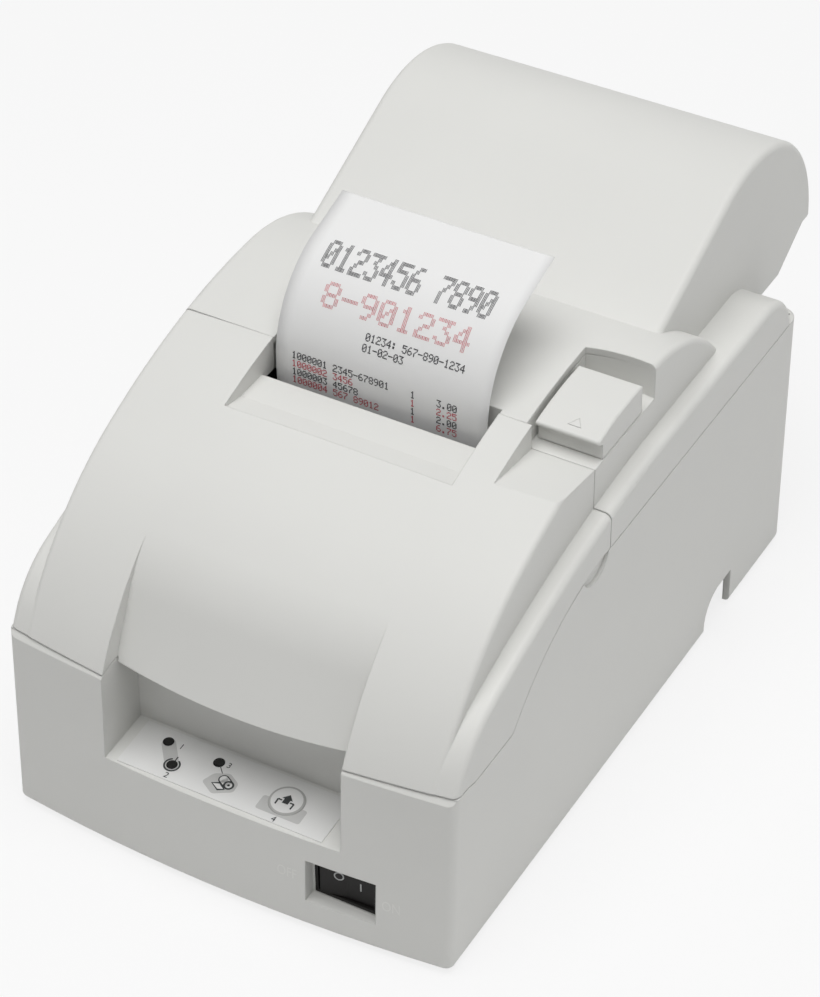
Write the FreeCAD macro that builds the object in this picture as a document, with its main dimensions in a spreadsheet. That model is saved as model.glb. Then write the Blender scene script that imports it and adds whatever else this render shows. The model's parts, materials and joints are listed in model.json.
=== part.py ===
import FreeCAD, Part
import math
import os
import Sketcher

# Receipt printer with a journal take-up hump. Millimetres and degrees.
# X to the right seen from the front, the front looks along -Y, Z up.
# The origin is on the floor under the middle of the object's box.

document = FreeCAD.newDocument("ReceiptPrinter")
sheet = document.addObject("Spreadsheet::Sheet", "Sizes")

driving = {
    # Whole object and lower case
    "case_width": 160.0,
    "rear_overhang": 39.8,
    "overall_depth": 288.0,
    "front_bow": 5.0,
    "front_lean": 2.9,
    "foot_height": 2.0,
    "foot_radius": 7.0,
    "foot_inset": 15.0,
    "wall": 2.5,
    "front_seam_height": 70.5,
    "rear_seam_height": 97.5,
    "seam_gap": 0.3,
    "seam_rise_from_front": 41.0,
    "seam_rise_radius": 82.0,
    "split_from_front": 104.0,
    "front_corner_radius": 3.0,
    "rear_corner_radius": 6.0,
    "bottom_edge_radius": 1.8,
    "front_bevel_depth": 0.8,
    "front_bevel_height": 0.9,
    "grip_notch_radius": 9.0,
    "grip_notch_height": 100.0,
    "grip_notch_from_split": 9.5,
    "grip_notch_depth": 1.2,
    # Cable bay at the rear of the case
    "bay_from_rear": 66.3,
    "bay_height": 40.0,
    "bay_post_width": 13.5,
    "bay_post_length": 18.5,
    "cable_notch_from_bay": 2.0,
    "cable_notch_length": 20.0,
    "cable_notch_height": 14.3,
    "cable_notch_radius": 11.0,
    # Panel recess
    "recess_width": 85.6,
    "recess_floor_front_height": 37.8,
    "recess_floor_rise": 1.6,
    "recess_depth": 20.8,
    "label_thickness": 0.3,
    "label_width": 74.7,
    "label_side_margin": 3.9,
    "label_front_margin": 0.7,
    "label_back_margin": 1.3,
    "lamp_radius": 1.85,
    "lamp_clearance": 0.1,
    "error_lamp_x": -28.4,
    "power_lamp_x": -22.2,
    "paper_lamp_x": -9.5,
    "rear_lamp_row": 14.6,
    "front_lamp_row": 6.8,
    "middle_lamp_row": 14.4,
    "feed_button_x": 17.8,
    "feed_button_row": 10.2,
    "feed_button_radius": 5.6,
    "feed_button_rise": 0.35,
    "feed_button_rim": 0.4,
    "feed_button_clearance": 0.3,
    "feed_button_travel": 0.8,
    "panel_board_thickness": 1.6,
    "panel_board_drop": 4.0,
    "panel_board_from_front": 4.4,
    "panel_board_width": 82.0,
    "panel_board_depth": 15.0,
    "panel_leg_width": 3.0,
    # Power switch
    "switch_centre_x": 42.75,
    "switch_recess_width": 24.1,
    "switch_recess_low": 12.5,
    "switch_recess_high": 29.2,
    "switch_recess_depth": 3.2,
    "switch_opening_width": 21.3,
    "switch_opening_height": 14.3,
    "switch_height": 20.85,
    "switch_frame_wall": 0.7,
    "switch_flange": 0.4,
    "switch_body_depth": 17.0,
    "switch_frame_rise": 0.3,
    "rocker_width": 18.6,
    "rocker_height": 12.2,
    "rocker_depth": 6.0,
    "rocker_dish": 0.6,
    "rocker_setback": 0.9,
    "rocker_tilt": -6.0,
    "rocker_pin_radius": 1.2,
    "rocker_pin_clearance": 0.05,
    # Covers
    "cover_gap": 0.4,
    "rail_width": 6.3,
    "dome_top_height": 138.7,
    "dome_top_from_front": 142.6,
    "dome_middle_radius": 215.0,
    "dome_front_radius": 101.5,
    "dome_rear_radius": 64.0,
    "dome_blend_from_front": 55.6,
    "dome_edge_radius": 2.0,
    "dome_foot_height": 112.0,
    "rail_start_height": 77.0,
    "rail_setback": 0.15,
    "rail_shoulder_from_front": 25.6,
    "rail_shoulder_height": 92.4,
    "rail_front_radius": 34.0,
    "rail_middle_radius": 377.0,
    "rail_level_from_front": 137.6,
    "rail_level_height": 113.9,
    "rail_top_height": 114.8,
    "rail_turn_from_rear": 26.9,
    "rail_rear_radius": 20.0,
    "rail_end_from_rear": 6.6,
    "rail_edge_radius": 2.5,
    # Middle strip of the front cover
    "strip_foot_height": 68.4,
    "strip_lean": 24.2,
    "strip_bend_radius": 40.0,
    "strip_top_height": 108.0,
    "strip_wall": 2.8,
    "strip_side_clearance": 0.5,
    "strip_arch": 2.4,
    # Paper slot, button scoop and button well
    "paper_width": 76.0,
    "slot_side_room": 2.5,
    "shelf_drop": 13.0,
    "shelf_from_front": 74.1,
    "shelf_level_from_front": 83.6,
    "lip_from_front": 96.3,
    "slot_rear_from_front": 106.0,
    "guide_drop": 14.0,
    "guide_rib_width": 2.0,
    "guide_rib_height": 6.0,
    "guide_rib_gap": 0.3,
    "scoop_left": 52.0,
    "scoop_start_from_front": 80.5,
    "scoop_drop": 12.5,
    "scoop_backing": 3.5,
    "well_left": 50.0,
    "well_end_from_front": 143.2,
    "well_bulge": 2.5,
    "well_drop": 12.7,
    "button_left": 51.2,
    "button_width": 22.2,
    "button_length": 29.4,
    "button_front_gap": 3.1,
    "button_floor_gap": 0.3,
    "button_front_drop": 4.3,
    "button_rear_drop": 2.0,
    "button_lip": 1.2,
    "button_undercut": 2.6,
    "button_crown_radius": 110.0,
    "button_travel": 6.0,
    "button_edge_radius": 0.8,
    "stem_width": 8.0,
    "stem_length": 12.0,
    "stem_from_button_front": 10.5,
    "stem_room": 1.0,
    "stem_drop": 8.0,
    "hook_thickness": 3.0,
    "hook_reach": 4.0,
    "catch_radius": 1.8,
    "catch_gap": 0.6,
    # Journal hump
    "hump_width": 130.0,
    "hump_radius": 51.0,
    "hump_centre_height": 108.6,
    "hump_face_angle": 23.5,
    "hump_start_from_rear": 121.5,
    "hump_foot_height": 107.5,
    "hump_step_from_rear": 10.0,
    "hump_side_height": 98.5,
    "hump_side_end_from_rear": 25.0,
    "hump_edge_radius": 2.5,
    # Hinges
    "front_axis_from_front": 9.5,
    "front_axis_height": 52.0,
    "front_knuckle_radius": 3.2,
    "front_arm_left": 62.0,
    "front_arm_width": 8.0,
    "front_arm_reach": 28.5,
    "front_arm_depth": 7.0,
    "front_ear_thickness": 3.5,
    "front_ear_gap": 0.5,
    "hinge_pin_radius": 1.6,
    "hinge_pin_clearance": 0.05,
    "rear_axis_from_rear": 21.0,
    "rear_axis_height": 102.0,
    "rear_pin_radius": 2.0,
    "rear_knuckle_radius": 5.0,
    "rear_arm_left": 48.0,
    "rear_arm_width": 6.0,
    "housing_width": 92.0,
    "housing_top_height": 106.5,
    "housing_rear_from_rear": 9.0,
    "housing_lip_height": 103.0,
    "housing_waist_from_rear": 20.0,
    "housing_waist_height": 88.0,
    "housing_foot_height": 60.0,
    # Receipt and paper path
    "paper_thickness": 0.3,
    "web_thickness": 0.2,
    "paper_from_front": 101.1,
    "receipt_foot_height": 116.0,
    "receipt_bend_height": 130.6,
    "receipt_radius": 33.8,
    "receipt_turn": 74.0,
    "receipt_tail": 19.3,
    "web_turn_radius": 16.0,
    "web_top_height": 112.8,
    "roll_radius": 32.0,
    "roll_from_case_rear": 62.0,
    "roll_height": 86.0,
    "core_radius": 9.0,
    "core_wall": 2.0,
    "roll_gap": 0.2,
    "tray_wall": 2.5,
    "tray_side_height": 80.0,
    "tray_front_room": 8.0,
    "tray_rear_room": 9.0,
    "tray_leg_width": 10.0,
    # Print mechanism
    "mech_width": 118.0,
    "frame_plate": 2.0,
    "mech_front_from_front": 30.6,
    "mech_length": 106.0,
    "base_height": 22.0,
    "base_plate": 2.0,
    "frame_front_height": 78.0,
    "frame_brow_from_front": 54.6,
    "frame_brow_height": 98.0,
    "frame_crown_from_front": 82.6,
    "frame_top_height": 118.0,
    "frame_rear_height": 112.0,
    "frame_rear_slope": 18.0,
    "mech_post_radius": 4.0,
    "mech_post_x": 50.0,
    "mech_post_inset": 10.0,
    "mech_screw_radius": 1.5,
    "mech_screw_head": 3.0,
    "mech_screw_head_height": 2.0,
    "mech_screw_length": 12.0,
    "screw_clearance": 0.1,
    "platen_gap": 1.4,
    "platen_depth": 6.0,
    "platen_low": 92.0,
    "platen_high": 108.0,
    "shaft_clearance": 0.05,
    "carriage_shaft_radius": 3.0,
    "carriage_shaft_from_front": 80.6,
    "carriage_shaft_height": 88.0,
    "carriage_rail_radius": 2.0,
    "carriage_rail_from_front": 64.6,
    "carriage_width": 22.0,
    "carriage_front_from_front": 56.6,
    "carriage_rear_from_front": 88.6,
    "carriage_low": 80.5,
    "carriage_high": 97.0,
    "carriage_travel": 31.0,
    "head_width": 18.0,
    "head_front_from_front": 62.6,
    "head_high": 110.0,
    "head_fin_gap": 2.0,
    "head_fin_depth": 6.0,
    "nose_width": 10.0,
    "nose_low": 99.0,
    "nose_high": 107.0,
    "nose_gap": 1.2,
    "ribbon_gap": 1.8,
    "ribbon_low": 98.0,
    "ribbon_high": 109.0,
    "belt_pulley_x": 46.0,
    "belt_from_front": 68.6,
    "belt_low": 73.0,
    "belt_height": 6.0,
    "belt_thickness": 1.0,
    "pulley_radius": 5.0,
    "pulley_gap": 0.1,
    "belt_carriage_gap": 0.3,
    "pulley_shaft_radius": 1.5,
    "carriage_motor_radius": 12.0,
    "carriage_motor_height": 42.0,
    "idler_post_radius": 3.0,
    "cassette_front_from_front": 32.6,
    "cassette_rear_from_front": 54.6,
    "cassette_low": 82.0,
    "cassette_high": 97.0,
    "cassette_arm_width": 9.0,
    "cassette_arm_inset": 4.0,
    "cassette_arm_high": 110.0,
    "knob_x": 40.0,
    "knob_from_front": 42.6,
    "knob_radius": 5.0,
    "knob_height": 5.0,
    "knob_stub_radius": 2.0,
    "knob_gap": 0.2,
    "knob_grip": 1.2,
    # Paper feed
    "feed_shaft_radius": 2.5,
    "feed_axis_height": 84.0,
    "feed_roller_radius": 5.6,
    "feed_roller_length": 14.0,
    "feed_roller_spacing": 24.0,
    "pinch_roller_radius": 5.0,
    "pinch_shaft_radius": 1.5,
    "paper_grip_gap": 0.3,
    "feed_motor_radius": 10.8,
    "feed_motor_length": 28.0,
    "gear_module": 1.0,
    "gear_teeth": 24.0,
    "pinion_teeth": 10.0,
    "gear_width": 4.5,
    "gear_frame_gap": 0.5,
    "motor_shaft_radius": 1.5,
    "motor_bearing_gap": 0.05,
    # Cutter
    "fixed_blade_low": 111.2,
    "fixed_blade_thickness": 1.6,
    "fixed_blade_depth": 7.5,
    "blade_paper_gap": 1.8,
    "moving_blade_width": 84.0,
    "moving_blade_depth": 22.0,
    "moving_blade_thickness": 1.0,
    "blade_gap": 0.3,
    "blade_travel": 5.0,
    "cutter_plate": 1.6,
    "cutter_depth": 28.0,
    "cutter_motor_length": 28.0,
    "cutter_motor_depth": 16.0,
    "cutter_motor_height": 14.0,
    # Journal take-up
    "spool_from_rear": 53.0,
    "spool_height": 122.0,
    "spool_shaft_radius": 3.0,
    "spool_core_radius": 6.0,
    "spool_flange_radius": 20.0,
    "spool_flange": 2.0,
    "spool_length": 80.0,
    "take_up_teeth": 32.0,
    "take_up_gear_gap": 2.0,
    "bracket_x": 49.0,
    "bracket_plate": 2.0,
    "bracket_front_from_rear": 79.0,
    "bracket_rear_from_rear": 43.0,
    "bracket_top_room": 6.0,
    "take_up_motor_radius": 9.0,
    "take_up_motor_length": 9.0,
    # Boards and connectors
    "board_width": 84.0,
    "board_thickness": 1.6,
    "board_height": 10.0,
    "board_front_from_front": 41.0,
    "board_rear_from_bay": 6.0,
    "board_boss_radius": 3.5,
    "board_boss_inset": 7.0,
    "plate_thickness": 1.2,
    "plate_width": 68.0,
    "plate_high": 36.0,
    "plate_low": 8.0,
    "plate_margin": 5.0,
    "plate_screw_radius": 1.5,
    "plate_screw_head": 2.8,
    "plate_screw_length": 3.5,
    "socket_depth": 14.0,
    "socket_rise": 1.5,
    "socket_wall": 1.2,
    "socket_room": 0.3,
    "data_socket_x": -16.0,
    "data_socket_width": 13.0,
    "data_socket_height": 12.0,
    "drawer_socket_x": 3.0,
    "drawer_socket_width": 14.0,
    "drawer_socket_height": 13.0,
    "power_socket_x": 21.0,
    "power_socket_radius": 7.5,
    "setting_cover_x": 20.0,
    "setting_cover_from_front": 78.0,
    "setting_cover_width": 30.0,
    "setting_cover_length": 24.0,
    "setting_cover_thickness": 1.2,
    "setting_cover_gap": 0.2,
}


class Size:
    """A length or angle with its number and the sheet formula behind it."""

    def __init__(self, value, text):
        self.value = value
        self.text = text

    def __add__(self, other):
        other = lift(other)
        return Size(self.value + other.value, "(" + self.text + " + " + other.text + ")")

    def __sub__(self, other):
        other = lift(other)
        return Size(self.value - other.value, "(" + self.text + " - " + other.text + ")")

    def __mul__(self, other):
        other = lift(other)
        return Size(self.value * other.value, "(" + self.text + " * " + other.text + ")")

    def __truediv__(self, other):
        other = lift(other)
        return Size(self.value / other.value, "(" + self.text + " / " + other.text + ")")

    def __radd__(self, other):
        return lift(other) + self

    def __rsub__(self, other):
        return lift(other) - self

    def __rmul__(self, other):
        return lift(other) * self

    def __rtruediv__(self, other):
        return lift(other) / self

    def __neg__(self):
        return Size(-self.value, "(0 - " + self.text + ")")


def lift(number):
    if isinstance(number, Size):
        return number
    return Size(float(number), repr(float(number)))


def root(size):
    return Size(math.sqrt(size.value), "sqrt(" + size.text + ")")


def sine(angle):
    angle = lift(angle)
    return Size(math.sin(math.radians(angle.value)), "sin(" + angle.text + " * 1 deg)")


def cosine(angle):
    angle = lift(angle)
    return Size(math.cos(math.radians(angle.value)), "cos(" + angle.text + " * 1 deg)")


class Sizes:
    """The driving sizes by name."""


size = Sizes()
for row, (alias, number) in enumerate(driving.items(), start=1):
    cell = "A" + str(row)
    sheet.set(cell, str(number))
    sheet.setAlias(cell, alias)
    setattr(size, alias, Size(number, "Sizes." + alias))
document.recompute()

nodes = []


def node(item, label):
    item.Label = label
    nodes.append(item)
    return item


def bind(item, field, value):
    item.setExpression(field, lift(value).text)


# Sketches, prisms and turned pieces

def arc_between(first, last, radius):
    middle = (first + last) * 0.5
    chord = last - first
    rise = math.sqrt(radius * radius - chord.Length * chord.Length / 4)
    left = FreeCAD.Vector(-chord.y, chord.x, 0).normalize()
    centre = middle + left * math.copysign(rise, radius)
    circle = Part.Circle(centre, FreeCAD.Vector(0, 0, 1), abs(radius))
    start, end = (first, last) if radius > 0 else (last, first)
    start_angle = math.atan2(start.y - centre.y, start.x - centre.x)
    end_angle = math.atan2(end.y - centre.y, end.x - centre.x)
    if end_angle < start_angle:
        end_angle += 2 * math.pi
    return Part.ArcOfCircle(circle, start_angle, end_angle)


def draw(sketch, outline):
    """A closed outline of (u, v) corners; (u, v, radius) comes by an arc, left-handed when positive."""
    corners = [(lift(step[0]), lift(step[1])) for step in outline]
    count = len(outline)
    ends = []
    for index in range(count):
        step = outline[(index + 1) % count]
        first = FreeCAD.Vector(corners[index][0].value, corners[index][1].value, 0)
        far = corners[(index + 1) % count]
        last = FreeCAD.Vector(far[0].value, far[1].value, 0)
        if len(step) == 2:
            sketch.addGeometry(Part.LineSegment(first, last))
            ends.append((1, 2))
        else:
            radius = lift(step[2])
            sketch.addGeometry(arc_between(first, last, radius.value))
            ends.append((1, 2) if radius.value > 0 else (2, 1))
            span = radius if radius.value > 0 else -radius
            held = sketch.addConstraint(Sketcher.Constraint("Radius", index, span.value))
            bind(sketch, "Constraints[" + str(held) + "]", span)
    for index in range(count):
        following = (index + 1) % count
        sketch.addConstraint(
            Sketcher.Constraint("Coincident", index, ends[index][1], following, ends[following][0]))
        for direction, value in zip(("DistanceX", "DistanceY"), corners[index]):
            held = sketch.addConstraint(
                Sketcher.Constraint(direction, -1, 1, index, ends[index][0], value.value))
            bind(sketch, "Constraints[" + str(held) + "]", value)


def new_sketch(body, name, plane, outline, along, across=0):
    sketch = body.newObject("Sketcher::SketchObject", name + "_outline")
    support = [feature for feature in body.Origin.OriginFeatures if feature.Role == plane][0]
    sketch.AttachmentSupport = [(support, "")]
    sketch.MapMode = "FlatFace"
    bind(sketch, "AttachmentOffset.Base.x", across)
    bind(sketch, "AttachmentOffset.Base.z", along)
    draw(sketch, outline)
    return sketch


def prism(name, plane, outline, low, high):
    low = lift(low)
    high = lift(high)
    body = document.addObject("PartDesign::Body", name)
    along = -high if plane == "XZ_Plane" else low
    pad = body.newObject("PartDesign::Pad", name + "_pad")
    pad.Profile = new_sketch(body, name, plane, outline, along)
    bind(pad, "Length", high - low)
    body.Tip = pad
    return body


def side_prism(name, outline, low, high):
    return prism(name, "YZ_Plane", outline, low, high)


def plan_prism(name, outline, low, high):
    return prism(name, "XY_Plane", outline, low, high)


def face_prism(name, outline, low, high):
    return prism(name, "XZ_Plane", outline, low, high)


def bowed(name, outline, span):
    """A side outline swung about the far upright axis that gives the front its bow."""
    body = document.addObject("PartDesign::Body", name)
    shifted = [(step[0] - bow_axis,) + tuple(step[1:]) for step in outline]
    turn = body.newObject("PartDesign::Revolution", name + "_turn")
    sketch = new_sketch(body, name, "YZ_Plane", shifted, 0, bow_axis)
    turn.Profile = sketch
    turn.ReferenceAxis = (sketch, ["V_Axis"])
    bind(turn, "Angle", span)
    turn.Midplane = True
    body.Tip = turn
    return body


def round_edges(body, name, radius, choose):
    document.recompute()
    base = body.Tip
    edges = ["Edge" + str(number) for number, edge in enumerate(base.Shape.Edges, start=1) if choose(edge)]
    fillet = body.newObject("PartDesign::Fillet", name)
    fillet.Base = (base, edges)
    bind(fillet, "Radius", radius)
    body.Tip = fillet


def soft_edges(item, name, radius, choose):
    document.recompute()
    fillet = document.addObject("Part::Fillet", name)
    fillet.Base = item
    numbers = [number for number, edge in enumerate(item.Shape.Edges, start=1) if choose(edge)]
    fillet.Edges = [(number, radius.value, radius.value) for number in numbers]
    return fillet


# Boxes, rods and joins

def place(item, x, y, z):
    bind(item, "Placement.Base.x", x)
    bind(item, "Placement.Base.y", y)
    bind(item, "Placement.Base.z", z)


def box(name, x_low, x_high, y_low, y_high, z_low, z_high):
    item = document.addObject("Part::Box", name)
    bind(item, "Length", lift(x_high) - x_low)
    bind(item, "Width", lift(y_high) - y_low)
    bind(item, "Height", lift(z_high) - z_low)
    place(item, x_low, y_low, z_low)
    return item


turns = {
    "x": FreeCAD.Rotation(FreeCAD.Vector(0, 1, 0), 90),
    "y": FreeCAD.Rotation(FreeCAD.Vector(1, 0, 0), -90),
    "z": FreeCAD.Rotation(),
}


def rod(name, axis, x, y, z, radius, length):
    item = document.addObject("Part::Cylinder", name)
    item.Placement.Rotation = turns[axis]
    bind(item, "Radius", radius)
    bind(item, "Height", length)
    place(item, x, y, z)
    return item


def fuse(name, items):
    item = document.addObject("Part::MultiFuse", name)
    item.Shapes = items
    return item


def cut(name, base, tools):
    item = document.addObject("Part::Cut", name)
    item.Base = base
    item.Tool = tools[0] if len(tools) == 1 else fuse(name + "_tools", tools)
    return item


def common(name, first, second):
    item = document.addObject("Part::Common", name)
    item.Base = first
    item.Tool = second
    return item


def group(name, items):
    item = document.addObject("Part::Compound", name)
    item.Links = items
    return item


def both_sides(name, low, high, make):
    """The same piece on the left and on the right of the middle plane."""
    return [make(name + "_right", low, high), make(name + "_left", -high, -low)]


# Places worked out from the driving sizes

half = size.case_width / 2
front = size.front_lean - size.overall_depth / 2
rear = size.overall_depth / 2
corner = front + size.front_bow
case_rear = rear - size.rear_overhang
bow_radius = (half * half + size.front_bow * size.front_bow) / (2 * size.front_bow)
bow_axis = front + bow_radius
# Outlines turned about the bow's axis cover this angle on each side of the middle plane
bow_span = 26
case_floor = size.foot_height + size.wall
inner_half = half - size.wall
split = front + size.split_from_front
seam = size.front_seam_height
# Cutting solids run this far past what they cut
beyond = 20
half_turn = 180
front_axis_y = front + size.front_axis_from_front
rear_axis_y = rear - size.rear_axis_from_rear
bay_front = case_rear - size.bay_from_rear
bay_ceiling = size.bay_height + size.wall
paper_y = front + size.paper_from_front
slot_half = size.paper_width / 2 + size.slot_side_room
recess_half = size.recess_width / 2
recess_back = front + size.recess_depth
recess_slope = size.recess_floor_rise / size.recess_depth
shelf_height = size.dome_top_height - size.shelf_drop
scoop_end_height = size.dome_top_height - size.scoop_drop
well_floor_height = size.dome_top_height - size.well_drop
button_front_height = size.dome_top_height - size.button_front_drop
button_rear_height = size.dome_top_height - size.button_rear_drop
switch_floor_y = front + size.switch_recess_depth


strip_slope = sine(size.strip_lean) / cosine(size.strip_lean)


def case_face(z):
    """Front of the case on the middle plane, which leans back from its foot to the seam."""
    return front - size.front_lean * (seam - z) / (seam - size.foot_height)


def seam_line(lift_by):
    """The top edge of the case seen from the side, with the bump about the front hinge axis."""
    bump = bump_radius() + lift_by
    level = seam + lift_by
    width = root(bump * bump - (level - size.front_axis_height) * (level - size.front_axis_height))
    return [
        (front - beyond, level),
        (front_axis_y - width, level),
        (front_axis_y + width, level, -bump),
        (front + size.seam_rise_from_front, level),
        (split, size.rear_seam_height + lift_by, -size.seam_rise_radius),
    ]


# Dome of the two covers, seen from the side at its edges

dome_half = half - size.rail_width
dome_bow = bow_radius - root(bow_radius * bow_radius - dome_half * dome_half)
dome_top_y = front + size.dome_top_from_front
dome_middle_z = size.dome_top_height - size.dome_middle_radius
blend_y = front + size.dome_blend_from_front
blend_reach = dome_top_y - blend_y
blend_rise = root(size.dome_middle_radius * size.dome_middle_radius - blend_reach * blend_reach)
front_share = 1 - size.dome_front_radius / size.dome_middle_radius
dome_front_y = blend_y + blend_reach * (1 - front_share)
dome_front_z = dome_middle_z + blend_rise * front_share
dome_rear_z = size.dome_top_height - size.dome_rear_radius


def dome_height(y, inset):
    radius = size.dome_middle_radius - inset
    return dome_middle_z + root(radius * radius - (y - dome_top_y) * (y - dome_top_y))


def dome_face(z, inset):
    radius = size.dome_front_radius - inset
    return dome_front_y - root(radius * radius - (z - dome_front_z) * (z - dome_front_z))


def dome_back(z, inset):
    radius = size.dome_rear_radius - inset
    return dome_top_y + root(radius * radius - (z - dome_rear_z) * (z - dome_rear_z))


def blend_point(inset):
    share = 1 - inset / size.dome_middle_radius
    return (dome_top_y - blend_reach * share, dome_middle_z + blend_rise * share)


def dome_front_outline(low, inset, end_y):
    blend = blend_point(inset)
    return [
        (dome_face(low, inset), low),
        (blend[0], blend[1], -(size.dome_front_radius - inset)),
        (end_y, dome_height(end_y, inset), -(size.dome_middle_radius - inset)),
        (end_y, low),
    ]


def dome_rear_outline(low, inset, start_y):
    return [
        (start_y, low),
        (start_y, dome_height(start_y, inset)),
        (dome_top_y, size.dome_top_height - inset, -(size.dome_middle_radius - inset)),
        (dome_back(size.dome_foot_height, inset), size.dome_foot_height, -(size.dome_rear_radius - inset)),
        (dome_back(size.dome_foot_height, inset), low),
    ]


rail_shoulder_y = front + size.rail_shoulder_from_front
rail_level_y = front + size.rail_level_from_front


def rail_front_outline(low, inset, end_y):
    behind = size.rail_setback + inset
    centre_y, centre_z = rail_arc_centre()
    share = inset / size.rail_middle_radius
    shoulder_y = rail_shoulder_y + (centre_y - rail_shoulder_y) * share
    shoulder_z = size.rail_shoulder_height + (centre_z - size.rail_shoulder_height) * share
    return [
        (dome_face(low, behind), low),
        (dome_face(size.rail_start_height, behind), size.rail_start_height, -(size.dome_front_radius - behind)),
        (shoulder_y, shoulder_z, -(size.rail_front_radius - inset)),
        (end_y, rail_height(end_y) - inset, -(size.rail_middle_radius - inset)),
        (end_y, low),
    ]


def rail_arc_centre():
    """Centre of the long arc of the rail, which passes its shoulder and the start of its level run."""
    run = rail_level_y - rail_shoulder_y
    rise = size.rail_level_height - size.rail_shoulder_height
    chord = root(run * run + rise * rise)
    depth = root(size.rail_middle_radius * size.rail_middle_radius - chord * chord / 4)
    centre_y = (rail_level_y + rail_shoulder_y) / 2 + depth * rise / chord
    centre_z = (size.rail_level_height + size.rail_shoulder_height) / 2 - depth * run / chord
    return centre_y, centre_z


def rail_height(y):
    """Height of the long arc of the rail at one place along the case."""
    centre_y, centre_z = rail_arc_centre()
    return centre_z + root(size.rail_middle_radius * size.rail_middle_radius - (y - centre_y) * (y - centre_y))


def rail_rear_outline(low, inset, start_y):
    return [
        (start_y, low),
        (start_y, rail_height(start_y) - inset),
        (rail_level_y, size.rail_level_height - inset, -(size.rail_middle_radius - inset)),
        (case_rear - size.rail_turn_from_rear, size.rail_top_height - inset),
        (case_rear - size.rail_end_from_rear - inset, low, -(size.rail_rear_radius - inset)),
    ]


def on_side(distance, top):
    """Running edges of a side face at this distance from the middle plane, above a height."""
    def choose(edge):
        bounds = edge.BoundBox
        flat = bounds.XLength < 0.01 and abs(abs(bounds.XMin) - distance.value) < 0.01
        return flat and bounds.YLength > 0.01 and edge.CenterOfMass.z > top.value
    return choose


# Lower case

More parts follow.
